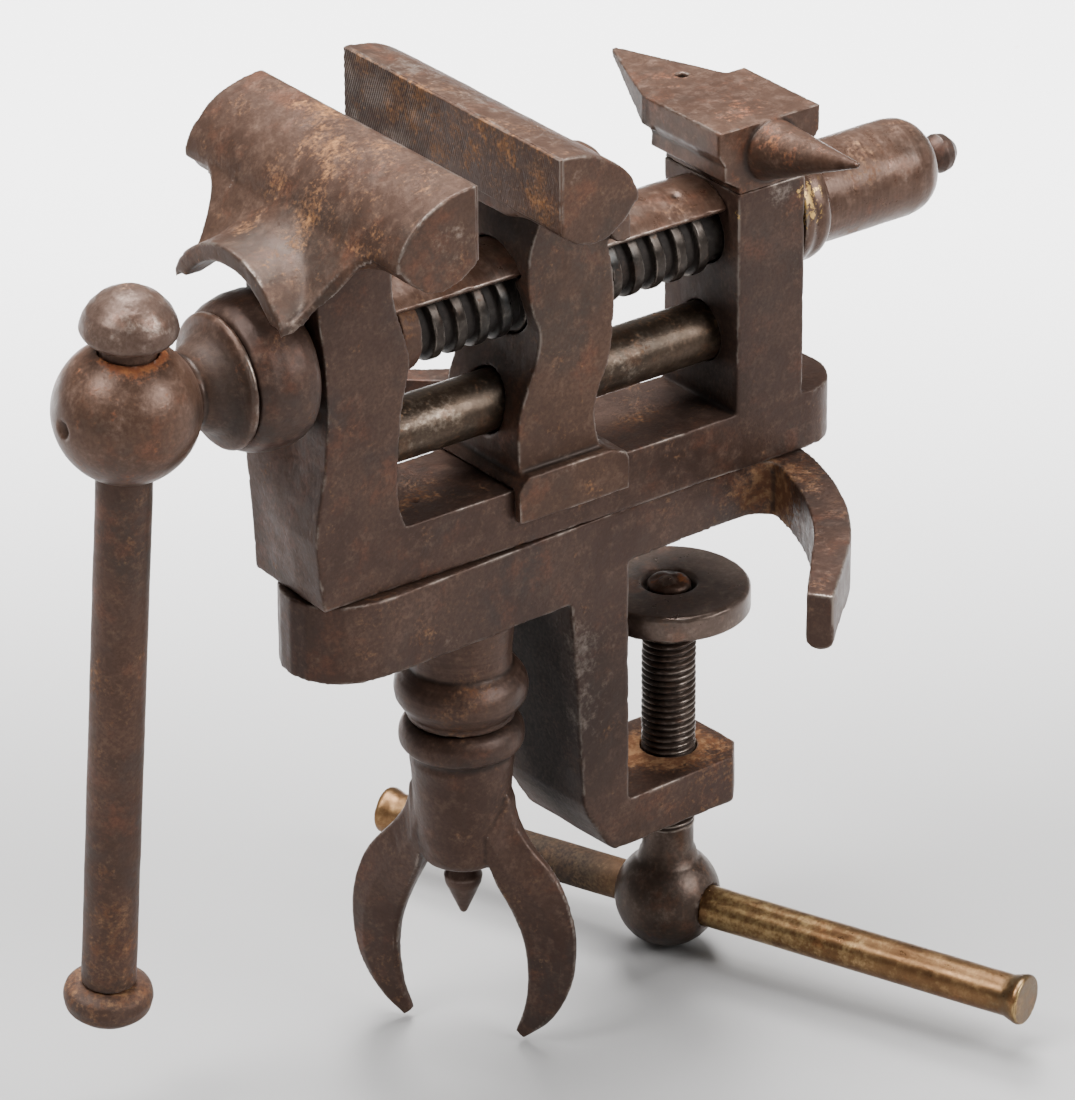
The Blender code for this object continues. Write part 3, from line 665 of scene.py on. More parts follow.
FRONT_RUST = [
    (-8, 6, 67, 5, 1.1), (-12, 0, 65, 5, 0.9), (-9, -8, 66, 5, 0.8), (-15, -4, 62, 5, 0.9),
    (-14, -12, 61, 5, 0.9), (-18, 3, 58, 5, 0.8), (-20, -5, 57, 5, 0.9), (-24, 4, 54, 4, 0.9),
    (-26, -4, 52, 4, 0.9), (-17, -16, 57, 4, 0.9), (-10, -18, 64, 5, 0.8), (-16, -20, 58, 4, 0.7),
    (-23, -9, 50, 4, 0.8), (-14, 10, 62, 4, 0.5), (-8, 12, 66, 4, 0.5),
]
front_jaw = jaw_head("front_jaw_head", FRONT_FACE, -1, (14.7, 40.35), (12.63, 39.97), 47.5, 15.4, 5.2)
skinned(front_jaw, 0.27, 3)
weather(
    front_jaw, 11, FRONT_RUST, [(-27, -12, 46, 7, 0.7), (-10, -25.5, 60, 8, 0.5), (-7, 5, 67, 3, 0.3)],
    swell=0.09, size=8, dents=[(-11, 6, 66, 2.2, 0.25), (-14, -6, 61, 1.6, 0.2), (-16, -9, 57, 1.2, 0.25)],
)
finished(front_jaw, "front_jaw", "head", "jaw")
file_cuts("front_jaw_file_cuts", "head", 12, FRONT_FACE, -1)

# ---------------- bed with its two uprights
UPRIGHT_FOOT, FRONT_TOP, REAR_TOP = 4.0, 54.6, 44.15
bed_end = curve([(66.4, -HALF), (68.8, -8.2), (71.0, -6.7), (72.7, -4.2), (73.5, -2.0), (73.7, 0)])
front_side = curve([
    (-6.7, BED_TOP), (-7.9, 14), (-7.8, 21.5), (-6.8, 28.9), (-5.6, 34), (-6.2, 37.4), (-7.4, 41.4),
    (-8.3, 45.5), (-8.5, FRONT_TOP),
])
front_side = [(FRONT_X, UPRIGHT_FOOT), (-6.7, UPRIGHT_FOOT), *front_side, (FRONT_X, FRONT_TOP)]
rear_side = [(REAR_X0, UPRIGHT_FOOT), (REAR_X1, UPRIGHT_FOOT), (REAR_X1, REAR_TOP), (REAR_X0, REAR_TOP)]
bed = prism("bed", [(FRONT_X, HALF), (FRONT_X, -HALF), *mirrored(bed_end)], "XY", 0.15, BED_TOP)
join(
    bed,
    prism("front_upright", front_side, "XZ", -HALF, HALF),
    prism("rear_upright", rear_side, "XZ", -HALF, HALF),
)
cut(
    bed,
    rod("front_bore", 6.35, -25, -2, ALONG_X),
    rod("rear_bore", 5.2, 48, 68, ALONG_X),
    rod("rod_bore", ROD_R + 0.12, -17.3, 68, ROD_LINE),
    rod("bolt_socket", 3.5, -2, 7.5, PIVOT),
)
skinned(bed, 0.3, 3)

# the front upright's end face is worn wavy, by an amount that goes with height on its right and left sides
RIGHT_WEAR = (0, 4, 11, 16, 22, 30, 38, 46, 54), (0, -0.6, -1.2, -0.6, 0.6, 1.3, 0.9, -0.1, -0.3)
LEFT_WEAR = (0, 10, 22, 26), (0.2, -0.3, -1.3, -0.2)
at = read(bed.data)
right = smoothstep(-7, 3, -at[:, 1])
wear = right * np.interp(at[:, 2], *RIGHT_WEAR) + (1 - right) * np.interp(at[:, 2], *LEFT_WEAR)
at[:, 0] += wear * smoothstep(13, 19, -at[:, 0])
write(bed.data, at)
weather(
    bed, 21,
    rust=[(0, 0, BED_TOP, 9, 0.6), (40, 0, BED_TOP, 14, 0.5), (-6.5, -5, 12, 5, 0.6), (64, -8, 42, 4, 0.8),
          (20, -8.7, 4, 10, 0.25), (-12, -8.7, 22, 8, 0.3)],
    bare=[(-20.9, 5, 12, 9, 0.4), (-20.9, 3, 28, 8, 0.3), (60, -8.7, 42.5, 4, 0.9), (58, -8.7, 22, 8, 0.25)],
    # Painted shade: the dark patches here sit on the rear upright's left face and on the bed floor before it.
    grime_and_shade=[(REAR_X0, -3, 16, 9, 0.8), (REAR_X0, -4, 30, 10, 0.6), (46, 3, BED_TOP, 9, 0.5)],
    braze=[(64, -8.7, 42, 2.0, 0.5), (52, -8.7, 41, 1.2, 0.5)],
    swell=0.06, size=12,
    dents=[(41, -7, BED_TOP, 0.8, 0.3), (-1, -3, BED_TOP, 0.8, 0.3)],
)
finished(bed, "bed_frame", "head", "iron")

guide = turned("guide_rod_worn", [(0, 64.3), (ROD_R, 64.3), (ROD_R, -17), (0, -17)], ROD_LINE, step=0.5)
weather(
    guide, 31, [(0, -3, 23, 5, 0.5), (48, 0, 24, 6, 0.4)],
    [(3, -3, 22, 5, 0.9), (-3, -3, 21, 4, 0.6), (35, -4, 20, 5, 0.7), (42, -3, 21, 4, 0.4)],
    swell=0.03, size=6,
)
finished(guide, "guide_rod", "head", "worn")

# ---------------- screw cover
COVER_SPAN = 50


def over_screw(outer, inner, span):
    """The end view of a curved strip over the screw, span degrees to each side of the top."""
    low, high = 90 - span, 90 + span
    return arc((0, SCREW_Z), outer, low, high, 40) + arc((0, SCREW_Z), inner, high, low, 40)


cover = skinned(prism("cover", over_screw(8.3, 6.9, COVER_SPAN), "YZ", -6.9, 52.2), 0.22, 2)
weather(
    cover, 41, [(47, 0, 44, 5, 0.3)], [(44, -5.6, 41, 4, 0.5), (36, -5.8, 41.5, 6, 0.4)],
    swell=0.03, size=7, dents=[(45.5, -2.5, 43.8, 1.3, 0.35)],
)
finished(cover, "screw_cover", "head", "turned_x")

# ---------------- sliding jaw
slider = jaw_head("sliding_jaw_head", SLIDE_FACE, 1, (10.3, 44.2), (8.6, 43.4), 43.5, 21.3, 1.5)
body_front = curve([
    (13.0, 11.8), (12.9, 17), (13.3, 20.6), (14.6, 24.2), (16.2, 28.2), (16.8, 32.2), (15.5, 36.0),
    (14.8, 41), (15.3, 45.5), (17.2, 50.5), (18.0, 56),
])
body_rear = curve([
    (23.2, 54), (27.8, 49.2), (28.8, 44), (29.9, 36.5), (29.8, 30), (28.9, 24.4), (27.2, 20.6), (26.5, 17),
    (27.3, 12.4), (28.4, 10.0),
])
foot = [
    (11.7, 4.5), (31.3, 4.5), (31.3, 9.6), (30.7, 10.6), (28.0, 11.6), (13.6, 11.6), (12.3, 10.6),
    (11.7, 9.6),
]
foot_piece = prism("jaw_foot", foot, "XZ", -10.6, 10.6)
PLAY = 0.3
half, high = HALF + PLAY, BED_TOP + PLAY
channel = [(-half, -2), (half, -2), (half, high), (-half, high)]
cut(foot_piece, prism("foot_channel", channel, "YZ", 5, 40))
jaw_side = [(12.9, 9.5), *body_front, *body_rear, (28.6, 9.5)]
join(slider, prism("jaw_body", jaw_side, "XZ", -HALF, HALF), foot_piece)
cut(
    slider,
    rod("nut_bore", THREAD_R + 0.25, 5, 36, ALONG_X),
    rod("jaw_rod_bore", ROD_R + PLAY, 5, 36, ROD_LINE),
    prism("cover_slot", over_screw(8.6, 5.0, COVER_SPAN + 3), "YZ", 5, 36),
)
skinned(slider, 0.27, 3)
weather(
    slider, 51,
    rust=[(10, 5, 66.5, 6, 0.4), (9, -12, 66, 6, 0.3), (20, -22, 60, 5, 0.3), (22, -10, 10.5, 5, 0.25)],
    bare=[(12, -25.5, 62, 7, 0.3), (20, -10, 11, 6, 0.5), (12, 14, 66, 9, 0.7), (12, -2, 66, 9, 0.6),
          (12, -16, 66, 8, 0.5)],
    # Painted shade: the dark patches here sit on the jaw body's front face, under the head.
    grime_and_shade=[(13.5, 0, 24, 8, 0.8), (14, 0, 38, 9, 0.8), (14, -2, 48, 8, 0.7)],
    swell=0.07, size=9,
)
finished(slider, "sliding_jaw", "jaw", "jaw")
file_cuts(
    "sliding_jaw_file_cuts", "jaw", 52, SLIDE_FACE, 1,
    rust=[(SLIDE_FACE, y, z, 5, 0.7) for y in range(21, -22, -7) for z in (66.5, 60)],
    bare=[(SLIDE_FACE, 20, 58, 9, 0.4), (SLIDE_FACE, 6, 62, 9, 0.3), (SLIDE_FACE, -10, 62, 9, 0.3)],
)

# ---------------- main screw, its ball and collars
SHOULDER, THREAD_START, THREAD_END, TAIL = -5.3, -1.5, 51.2, 88.0
LAND, FIRST_LAND, THREAD_PHASE = 0.95, 1.05, 0.759


def main_thread(x, share):
    """The square thread's radius; share is the part of a turn, from below the screw."""
    off = abs(((x - THREAD_START - FIRST_LAND) / PITCH - share + THREAD_PHASE) % 1 - 0.5) * PITCH
    ends = min(1.0, (THREAD_END - 1.0 - x) / 0.4, (x - THREAD_START - 0.4) / 0.4)
    land = min(1.0, max(0.0, (LAND + 0.15 - off) / 0.3)) * max(0.0, ends)
    return CORE_R + (THREAD_R - 0.12 * (off / LAND) ** 4 - CORE_R) * land


PIN = shift((SHOULDER + THREAD_START) / 2, 0, SCREW_Z)
flange = [(CORE_R, -4.9), (CORE_R, SHOULDER), (6.0, SHOULDER), (6.0, -31.6), (9.8, -31.6), (9.9, -32.1)]
flange += [(9.5, -32.6), (8.3, -33.0), (7.3, -33.7), (6.6, -34.7), (6.1, -35.8), (5.6, -36.6), (5.2, -37.1)]
ball = ball_arc(BALL.x, BALL_R, 1.5, 5.2, 60) + [(1.2, BALL.x - 10.1), (0.6, BALL.x - 9.5), (0, BALL.x - 9.3)]
front_end = stepped(rounded([*flange, ball[0]], 0.3, False), 0.4, False)[:-1] + ball
screw_tail = stepped([(3.9, TAIL), (CORE_R - 0.05, TAIL - 1), (CORE_R, THREAD_END)], 1.0, False)
screw = threaded("screw", [(0, TAIL), *screw_tail], (THREAD_END, THREAD_START), 0.07, front_end, main_thread,
                 ALONG_X, 120)
cut(
    screw,
    rod("tommy_hole", 4.35, -14, 14, TOMMY),
    rod("pin_hole", 1.1, -9, 9, PIN),
)
weather(
    screw, 61,
    rust=[(BALL.x, -3.4, BALL.z + 8.7, 3.5, 5.0), (BALL.x + 2.5, -2.8, BALL.z + 8.9, 2.5, 3.0),
          (BALL.x - 3, -2.6, BALL.z + 8.9, 2.5, 2.5), (BALL.x - 3, -3, BALL.z - 6, 6, 0.3),
          (BALL.x + 3, -6, BALL.z, 6, 0.3), (0, 0, SCREW_Z, 3, 0.5)],
    bare=[(BALL.x - 5, -6, BALL.z + 5, 4, 0.35), (BALL.x - 3, -8, BALL.z + 1, 4, 0.3)],
    swell=0.03, size=8,
)
finished(screw, "main_screw", "screw", "thread")
parted(screw, "smooth", lambda at: at[:, 0] < -20)
# Darker thread roots, and painted shade in the flange's dish beside the ball.
at = read(screw.data)
in_thread = 0.85 * smoothstep(-5.75, -5.2, -np.hypot(at[:, 1], at[:, 2] - SCREW_Z))
in_thread *= (at[:, 0] > THREAD_START) & (at[:, 0] < THREAD_END)
dish_shade = 0.5 * smoothstep(-37.4, -36.0, at[:, 0]) * smoothstep(32.4, 33.4, -at[:, 0])
store(screw.data, "grime_and_shade", in_thread + dish_shade)

thrust = turned("thrust_ring", [
    (9.7, -21.2), (10.9, -22.4), (11.4, -24.4), (11.4, -27.0), (10.9, -29.4), (10.0, -31.3), (6.3, -31.3),
    (6.3, -21.2),
], ALONG_X, 128, ring=True, edge=0.8, step=0.4)
weather(thrust, 62, [(-26, -8, 42, 6, 0.5), (-24, -10, 32, 5, 0.4)], swell=0.04, size=9)
finished(thrust, "thrust_collar", "screw", "iron")

retaining = turned("retaining_ring", [
    (6.5, THREAD_START - 0.3), (6.5, SHOULDER + 0.3), (CORE_R + 0.3, SHOULDER + 0.3),
    (CORE_R + 0.3, THREAD_START - 0.3),
], ALONG_X, ring=True, edge=0.35, step=0.4)
weather(retaining, 63, [(-3.4, -4, 40, 6, 1.0)], swell=0.05, size=4)
finished(retaining, "retaining_collar", "screw", "rusty")
pin = turned("pin", [(0, 6.3), (0.8, 6.3), (0.8, -6.3), (0, -6.3)], PIN, 32, edge=0.2, step=0.3)
weather(pin, 64)
finished(pin, "retaining_pin", "screw", "worn")

# ---------------- tommy bar and its knobs
bar = turned("tommy_rod", [
    (0, 17.0), (2.5, 17.0), (2.5, 11.3), (4.0, 11.3), (4.0, -95.2), (2.5, -95.2), (2.5, -99.0), (0, -99.0),
], TOMMY, 80, step=0.55)
weather(bar, 71, [(-47, 9, -50, 14, 0.9), (-50, 4, -10, 12, 0.5), (-47, 1, 25, 8, 0.4)],
        [(-49, 0, 5, 10, 0.15)], swell=0.035, size=9)
finished(bar, "tommy_bar", "tommy", "rusty")
knob = turned("top_knob", [
    (0, 19.0), (2.4, 18.6), (4.5, 17.3), (5.9, 15.7), (6.5, 14.5), (6.95, 12.9), (6.6, 12.2), (5.4, 11.4),
    (2.8, 11.4), (2.8, 17.2), (0, 17.2),
], TOMMY, edge=0.5, step=0.35)
weather(knob, 72, [(-47, 0, 55, 4, 0.6), (-46, -2, 53, 3, 0.3)],
        [(-49, -5, 50.5, 4, 1.0), (-45, -6, 50.5, 3, 0.8)], swell=0.05, size=5)
finished(knob, "tommy_top_knob", "tommy", "knob")
end_knob = turned("end_knob", [
    (0, -99.4), (2.8, -99.4), (2.8, -95.5), (4.7, -95.5), (6.2, -96.4), (6.6, -97.8), (6.2, -99.6),
    (4.6, -101.0), (2.4, -101.6), (0, -101.7),
], TOMMY, edge=0.5, step=0.35)
weather(end_knob, 73, [(-47, 10, -60, 9, 1.6)], swell=0.04, size=5)
finished(end_knob, "tommy_end_knob", "tommy", "rusty")

# ---------------- rear barrel
barrel = turned("barrel", [
    (1.8, 93.0), (4.2, 92.9), (6.0, 92.0), (7.1, 90.2), (7.4, 88.0), (7.4, 64.75), (5.2, 64.75), (5.2, 89.0),
    (1.8, 89.0),
], ALONG_X, 128, ring=True, edge=0.9, step=0.45)
weather(barrel, 81, [(80, -4, 42, 7, 0.5), (88, 0, 43, 4, 0.5), (76, -6, 33, 6, 0.3)],
        [(85, -7, 38, 5, 0.3)], swell=0.04, size=10)
finished(barrel, "screw_barrel", "head", "turned_x")
bead = turned("bead", [
    (7.9, 70.2), (8.7, 69.4), (9.0, 68.2), (8.8, 66.9), (9.1, 66.0), (9.1, 64.75), (7.7, 64.75), (7.7, 70.2),
], ALONG_X, 128, ring=True, edge=0.5, step=0.3)
weather(bead, 82, braze=[(65.5, -7.5, 41, 3.2, 1.0), (65.5, -8.5, 37, 2.2, 0.8)], swell=0.04, size=5)
finished(bead, "barrel_bead", "head", "turned_x")
finial = turned("finial", [
    (0, 99.7), (1.6, 99.3), (2.8, 97.9), (3.0, 96.6), (2.4, 95.2), (1.9, 94.5), (2.3, 93.3), (1.5, 93.3),
    (1.5, 89.6), (0, 89.6),
], ALONG_X, 48, edge=0.12, step=0.5)
weather(finial, 83, bare=[(97, -2, 38, 2, 0.5)], swell=0.02, size=3)
finished(finial, "barrel_finial", "head", "iron")

# ---------------- anvil
ANVIL_TOP, ANVIL_HALF = 54.4, 8.65
anvil_side = [
    (48.8, ANVIL_TOP), (67.0, ANVIL_TOP), (67.0, 50.4), (66.0, 49.0), (65.8, 47.0), (64.4, 45.2),
    (64.4, 44.0), (52.5, 44.0), (52.5, 45.0), (49.9, 46.6), (49.8, 49.0), (48.8, 50.6),
]
anvil = prism("anvil_block", anvil_side, "XZ", -ANVIL_HALF, ANVIL_HALF)


def pike_ring(y, left, right, low):
    return [(left, y, low), (right, y, low), (right, y, ANVIL_TOP), (left, y, ANVIL_TOP)]


def bick_ring(share, steps=64):
    radius = 4.9 * (1 - share) + 0.4 * share
    y = -7.5 - 20.6 * share
    height = ANVIL_TOP - 0.2 - radius
    return [(58.2 + radius * cos(2 * pi * i / steps), y, height + radius * sin(2 * pi * i / steps))
            for i in range(steps)]


pike = loft("pike", [pike_ring(7.0, 48.8, 64.6, 49.6), pike_ring(9.5, 48.9, 63.3, 49.8),
                     pike_ring(26.2, 56.1, 56.9, 53.5)])
join(anvil, pike, loft("bick", [bick_ring(s) for s in (0, 0.12, 0.35, 0.7, 0.95, 1.0)]))
hole = [(-0.8, -0.8), (0.8, -0.8), (0.8, 0.8), (-0.8, 0.8)]
cut(anvil, prism("pike_hole", hole, "XY", 53.3, 60, shift(58.0, 11.8, 0) @ turn(radians(8), "Z")))
skinned(anvil, 0.24, 2)
weather(
    anvil, 91,
    rust=[(57, -2, ANVIL_TOP, 5, 0.35), (58, 11.8, ANVIL_TOP, 2, 1.2), (58, -14, 50, 6, 0.4),
          (55, -8, 47, 5, 0.3)],
    bare=[(52, 0, ANVIL_TOP, 7, 0.15), (58.5, -14, 54, 4, 0.4)],
    swell=0.03, size=8,
)
# Painted shade: the pike's side that faces left is darkened towards near black, against the bright reflection
# it would show.
shaded = smoothstep(0.35, 0.8, -normals_of(anvil.data)[:, 0]) * smoothstep(6.5, 9, read(anvil.data)[:, 1])
store(anvil.data, "grime_and_shade", 0.6 * shaded)
finished(anvil, "anvil", "head", "smooth")

# ---------------- swivel bolt, collar and wing nut
bolt = turned("bolt", [
    (0, 7.0), (3.2, 7.0), (3.2, -52.9), (2.3, -53.8), (2.2, -54.6), (2.9, -56.0), (2.7, -57.2), (0.5, -62.3),
    (0, -62.6),
], PIVOT, 80, step=0.4)
weather(bolt, 101, bare=[(8, -2, -56, 3, 0.4)], swell=0.02, size=5)
finished(bolt, "pivot_bolt", "head", "turned_z")
collar = turned("swivel_ring", [
    (8.1, -12.75), (7.8, -15.0), (7.5, -18.0), (7.5, -20.6), (8.5, -21.4), (9.6, -22.8), (9.9, -24.3),
    (9.6, -25.8), (8.7, -27.2), (8.0, -28.0), (7.8, -29.2), (3.5, -29.2), (3.5, -12.75),
], PIVOT, 128, ring=True, edge=0.9, step=0.4)
weather(collar, 102, [(4, -7, -24, 7, 0.3)], [(8, -9, -24, 4, 0.2)], swell=0.05, size=7)
finished(collar, "pivot_collar", "swivel_collar", "turned_z")
nut = turned("nut_core", [
    (7.8, -29.5), (8.6, -30.0), (9.2, -31.2), (9.25, -32.6), (9.0, -33.6), (7.9, -34.2), (7.5, -35.0),
    (7.75, -36.0), (7.5, -38.0), (7.2, -43.0), (6.8, -48.5), (6.3, -51.6), (5.7, -52.7), (3.5, -52.7),
    (3.5, -29.5),
], PIVOT, ring=True, edge=0.4, step=60)
wing_outer = curve([
    (5.6, -38.4), (7.7, -41.0), (8.4, -45.0), (11.0, -49.5), (14.8, -54.0), (17.2, -60.0), (17.8, -66.0),
    (16.8, -72.5), (13.8, -78.3), (9.6, -82.0),
], 6)
wing_inner = curve([
    (4.6, -50.5), (5.4, -53.1), (6.2, -56.0), (8.2, -60.5), (9.9, -66.0), (10.3, -72.0), (9.6, -77.0),
    (8.3, -80.8),
], 6)


def along(line, share):
    """The point at a share of the line's length."""
    at = np.array(line)
    run = np.concatenate([[0], np.cumsum(np.linalg.norm(np.diff(at, axis=0), axis=1))])
    return [float(np.interp(share * run[-1], run, at[:, k])) for k in (0, 1)]


def wing_ring(share):
    """A six-sided slice across the wing, thickest on the ridge near its outer side."""
    outer, inner = np.array(along(wing_outer, share)), np.array(along(wing_inner, share))
    thick = 1.9 - 1.1 * share + 2.9 * (1 - min(1.0, share / 0.5)) ** 1.5
    ridge = 0.5 * (1 - share) + 0.1
    line = [(outer, 0.3), (outer * (1 - ridge) + inner * ridge, 1.0), (inner * 0.92 + outer * 0.08, 0.9),
            (inner, 0.6)]
    near = [(p[0], -thick * t, p[1]) for p, t in line]
    return near + [(x, -y, z) for x, y, z in reversed(near)]


WING_TURN, WING_SLICES = radians(-58), 24
for number in range(2):
    place = PIVOT @ turn(WING_TURN + pi * number, "Z")
    join(nut, loft(f"wing_{number}", [wing_ring(s / WING_SLICES) for s in range(WING_SLICES + 1)], place))
skinned(nut, 0.26, 3)
weather(nut, 103, [(13, -8, -60, 8, 0.25), (2, 8, -70, 9, 0.3), (9, -7, -40, 6, 0.2)], swell=0.05, size=8)
finished(nut, "wing_nut", "nut", "iron")

# ---------------- clamp frame
CLAMP_HALF, CLAMP_TOP, BAR_LOW, FOOT_TOP, FOOT_LOW = 9.3, -0.15, -12.44, -48.44, -56.2
bar_front = mirrored([
    (-18.0, -CLAMP_HALF), (-21.5, -9.15), (-24.4, -8.5), (-26.8, -7.3), (-28.8, -5.5), (-30.2, -3.0),
    (-30.8, 0),
])
bar_plan = [(53.0, CLAMP_HALF), (53.0, -CLAMP_HALF), *bar_front]
clamp = prism("clamp", bar_plan, "XY", CLAMP_UNDER, CLAMP_TOP, CLAMP)


def crescent_side(centre, radius, angle, tail, steps):
    """An arc about the bar's middle line that runs on straight for tail at both horns."""
    t = radians(angle)
    tip_x = centre + radius * cos(t) - tail * sin(t)
    tip_y = radius * sin(t) + tail * cos(t)
    return [(tip_x, -tip_y), *arc((centre, 0), radius, -angle, angle, steps), (tip_x, tip_y)]


crescent = crescent_side(4.65, 52.65, 50.6, 13.5, 70) + crescent_side(2.4, 48.9, 45.5, 15.9, 70)[::-1]
leg = [
    (-17.0, BAR_LOW), (13.3, BAR_LOW), (14.6, -30), (15.5, -46.5), (16.3, -48.6), (20.3, -55.0),
    (21.9, FOOT_LOW), (48.2, FOOT_LOW), (48.2, FOOT_TOP), (24.3, FOOT_TOP), (24.1, -4.0), (-17.0, -4.0),
]
join(
    clamp,
    prism("crescent", crescent, "XY", CLAMP_UNDER, CLAMP_TOP, CLAMP),
    prism("leg", leg, "XZ", -CLAMP_HALF, CLAMP_HALF, CLAMP),
    prism("bar_nose", [(-16.5, CLAMP_HALF), (-16.5, -CLAMP_HALF), *bar_front], "XY", BAR_LOW, -4.0, CLAMP),
)
FILLET = 5.5
corners = []
for side in (-1, 1):
    corner = [(44.6, side * 9.4), (49.5, side * 9.4), (49.5, side * 4.4)]
    corners.append(prism(f"foot_corner_{side + 1}", corner, "XY", -60, -44, CLAMP))
    fillet_x, fillet_y = 50.6 - FILLET, side * (CLAMP_HALF + FILLET)
    fillet = [(fillet_x, side * 9.0), *arc((fillet_x, fillet_y), FILLET, -90 * side, 0, 12), (52.5, fillet_y),
              (52.5, side * 9.0)]
    join(clamp, prism(f"fillet_{side + 1}", fillet, "XY", CLAMP_UNDER, CLAMP_TOP, CLAMP))
cut(clamp, *corners, rod("pivot_hole", 3.6, -20, 4, CLAMP), rod("clamp_nut_bore", 4.3, -60, -44, SPINDLE))
skinned(clamp, 0.32, 3)

# the undersides of the crescent's horns are rounded towards their tips
TIP_X, TIP_Y, ALONG_HORN, HORN_HALF = 26.5, 47.6, (0.75, -0.66), 2.6
at = read(clamp.data)
flat = (at - np.array(PIVOT.translation)) @ np.array(turn(SWIVEL, "Z").to_3x3())
past_x, past_y = flat[:, 0] - TIP_X, np.abs(flat[:, 1]) - TIP_Y
from_tip = ALONG_HORN[0] * past_x + ALONG_HORN[1] * past_y
across = np.abs(ALONG_HORN[1] * past_x - ALONG_HORN[0] * past_y)
horn = (1 - smoothstep(3, 20, from_tip)) * (np.abs(flat[:, 1]) > 25) * (flat[:, 2] > -9.5)
lift = HORN_HALF - np.sqrt(HORN_HALF**2 - np.minimum(across, HORN_HALF - 0.1) ** 2)
at[:, 2] += 1.2 * lift * horn * np.clip(-flat[:, 2] / 8.7, 0, 1) ** 2
write(clamp.data, at)
weather(
    clamp, 111,
    rust=[(50, 0, FOOT_TOP, 9, 2.2), (42, 4, FOOT_TOP, 8, 2.0), (57, -10, -5, 7, 2.0), (60, -14, -3, 6, 1.2),
          (53, -38, -1, 5, 1.2), (-10, -9.3, -4, 9, 0.3), (0, -9.3, -9, 9, 0.3), (60, -20, -2, 12, 0.3),
          (45, -8, FOOT_TOP, 6, 0.5)],
    # The first two bright patches here are a painted sheen on the leg's near face.
    bare=[(23, -9.3, -20, 8, 0.9), (23, -9.3, -32, 8, 0.8), (2, -9.3, -11, 8, 0.4), (53, -45, -3, 9, 0.3),
          (-22, -8, -8, 6, 0.2)],
    # Painted shade: the dark patches here sit on the leg's left face and under the bar.
    grime_and_shade=[(22, 1, -22, 11, 1.0), (23, 0, -36, 11, 1.0), (24, 0, -50, 10, 0.9), (21, 8, -30, 14, 0.9),
           (8, 0, -12.4, 14, 0.6)],
    swell=0.07, size=12,
)
finished(clamp, "clamp_frame", "clamp", "iron")

# ---------------- pad, clamp screw and brass bar
PAD_TOP, PAD_LOW = -21.1, -25.1
pad = turned("pad", [
    (11.7, PAD_TOP), (12.2, PAD_TOP - 0.5), (12.2, PAD_LOW + 0.3), (11.9, PAD_LOW), (2.3, PAD_LOW),
    (2.3, -22.3), (3.4, -22.3), (4.3, PAD_TOP),
], SPINDLE, 128, ring=True, step=0.45)
weather(pad, 121, bare=[(52, -10, -22, 5, 0.4), (56, 6, -22, 5, 0.3)], swell=0.03, size=9)
finished(pad, "clamp_pad", "pad", "pad")

CLAMP_PITCH, CLAMP_R, CLAMP_DEPTH = 1.05, 4.1, 0.62
CLAMP_THREAD = -25.6, -61.6
spindle_top = [
    (0, -19.9), (0.9, -19.95), (1.9, -20.2), (2.8, -20.7), (3.3, -21.3), (3.2, -21.9), (2.0, -22.0),
    (2.0, -25.4), (3.5, -25.4),
]
spindle_low = [(3.9, -61.8), (3.9, -65.6), (4.3, -66.4)]
spindle_low += ball_arc(CLAMP_BALL_Z, CLAMP_BALL_R, 0.0, 4.6, 40)[:-1] + [(0, CLAMP_BALL_Z - CLAMP_BALL_R)]


def clamp_thread(z, share):
    wave = abs(((z / CLAMP_PITCH - share) % 1) - 0.5) * 2
    fade = max(0.0, min(1.0, (CLAMP_THREAD[0] - z) / 1.2, (z - CLAMP_THREAD[1]) / 1.2))
    return CLAMP_R - CLAMP_DEPTH * (1 - min(1.0, 1.25 * (1 - wave))) * fade - 0.1 * (1 - fade)


spindle = threaded("spindle", spindle_top, CLAMP_THREAD, 0.09, spindle_low, clamp_thread, SPINDLE, 72)
cut(spindle, rod("brass_hole", 3.42, -14, 14, BRASS))
rivet = SPINDLE @ Vector((0, 0, -20.0))


def on_rivet(x, y, radius, strength):
    return (*(rivet + Vector((x, y, 0))), radius, strength)


weather(
    spindle, 122,
    rust=[(52, -4, -72, 5, 0.3), on_rivet(1.5, -1.2, 1.8, 2.2), on_rivet(-2.2, 0.5, 1.2, 1.4)],
    bare=[(48.5, -3, -72, 4, 0.3), on_rivet(-0.8, -1, 1.7, 2.0)],
    swell=0.03, size=6,
    dents=[on_rivet(1.4, 1.2, 1.2, 0.5), on_rivet(-1.6, 1.0, 1.0, 0.4), on_rivet(0.2, -2.2, 1.0, 0.4)],
)
finished(spindle, "clamp_screw", "clamp_spindle", "dark")
parted(spindle, "smooth", lambda at: at[:, 2] > -22.0)

brass_bar = turned("brass_rod", [
    (0, 61.4), (3.75, 61.4), (3.9, 60.7), (3.2, 58.6), (3.15, -48.2), (3.7, -50.0), (3.6, -50.8), (0, -50.8),
], BRASS, 80, edge=0.35, step=0.5)
# Painted highlight along one half of the bar, and painted shadow along the other half.
painted_highlight = [(*(BRASS @ Vector((0, 0, reach))), 6, 1.0) for reach in (9, 14, 20, 26, 34)]
painted_shadow = [(*(BRASS @ Vector((0, 0, reach))), 9, 0.85) for reach in (-12, -20, -28, -36)]
weather(brass_bar, 123, bare=painted_highlight, grime_and_shade=painted_shadow, swell=0.02, size=12)
finished(brass_bar, "clamp_bar", "brass_bar", "brass")

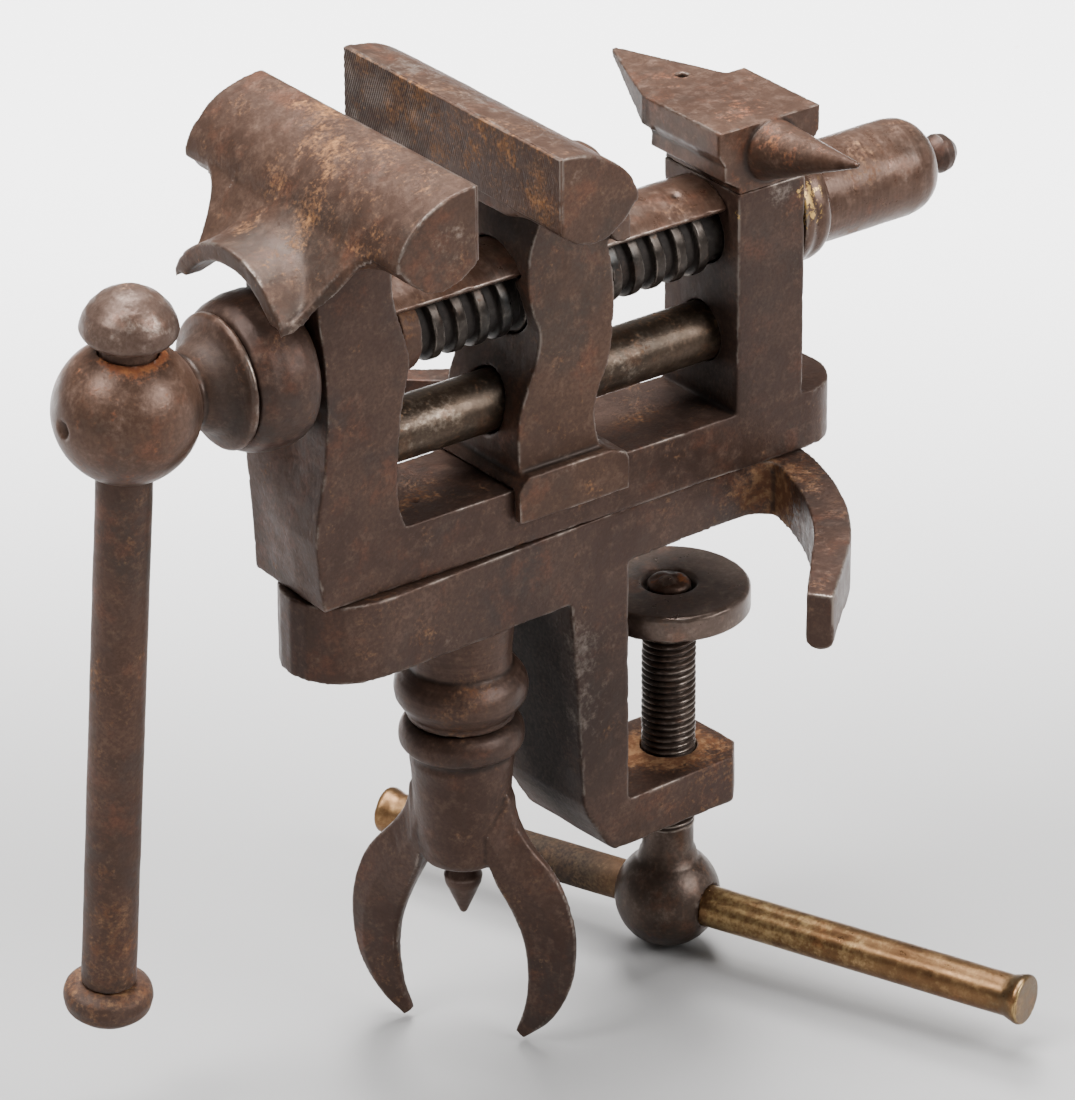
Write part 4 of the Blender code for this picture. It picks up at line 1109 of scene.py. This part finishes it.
# ---------------- floor, light and camera
FLOOR, GAP = 3.0, 0.0001
floor_mesh = bpy.data.meshes.new("floor")
corners = [(-FLOOR, -FLOOR, 0), (FLOOR, -FLOOR, 0), (FLOOR, FLOOR, 0), (-FLOOR, FLOOR, 0)]
floor_mesh.from_pydata(corners, [], [(0, 1, 2, 3)])
floor = placed("floor", floor_mesh)
floor.location = (0, 0, cad_box[0].z - GAP)
g = Graph("paper_painted_falloff")
AWAY = (0.597, 0.802, 0)  # from the camera towards the back of the table
# Painted light falloff: the floor's colour runs from dark at the front to pale at the back.
distance = g.node("ShaderNodeVectorMath", {0: g.at, 1: AWAY}, operation="DOT_PRODUCT").outputs["Value"]
paper_painted_falloff = g.mix(g.range(distance, 0.0, 0.31), (0.31, 0.305, 0.303), (0.9, 0.895, 0.898))
stains = g.range(g.noise(9.0, 9.0, 0.7), 0.66, 0.76, 0.0, 0.3)
g.shade("Base Color", g.mix(stains, paper_painted_falloff, (0.55, 0.34, 0.22)))
g.shade("Roughness", 0.85)
floor_mesh.materials.append(g.material)

world = bpy.data.worlds.new("room")
bpy.context.scene.world = world
world.use_nodes = True
background = world.node_tree.nodes["Background"]
background.inputs["Color"].default_value = (1.0, 0.99, 0.98, 1.0)
background.inputs["Strength"].default_value = 0.3


def lamp(name, at, size, power, target=(0, 0, -0.01), glossy=True):
    data = bpy.data.lights.new(name, "AREA")
    data.shape, data.size, data.energy = "DISK", size, power
    obj = placed(name, data)
    obj.location = at
    obj.visible_glossy = glossy
    obj.rotation_euler = (Vector(target) - Vector(at)).to_track_quat("-Z", "Y").to_euler()


lamp("key", (-0.8, 0.1, 1.0), 0.5, 15)
lamp("above", (0.05, 0.2, 1.1), 0.8, 36)
lamp("front", (0.45, -0.85, 0.6), 0.6, 15)
lamp("backdrop", (0.55, 0.75, 0.9), 0.5, 36, target=(0.36, 0.48, -0.07), glossy=False)

camera_data = bpy.data.cameras.new("camera")
camera_data.lens, camera_data.sensor_width, camera_data.sensor_fit = 214.49, 36.0, "HORIZONTAL"
camera_data.clip_start, camera_data.clip_end = 0.05, 20.0
CAMERA_AT = (-0.519396, -0.664571, 0.422517)
RIGHT, UP, BACK = (0.80028, -0.59960, -0.00528), (0.27588, 0.36037, 0.89108), (-0.53239, -0.71457, 0.45381)
camera = placed("camera", camera_data)
camera.matrix_world = shift(*CAMERA_AT) @ Matrix((RIGHT, UP, BACK)).transposed().to_4x4()
bpy.context.scene.camera = camera
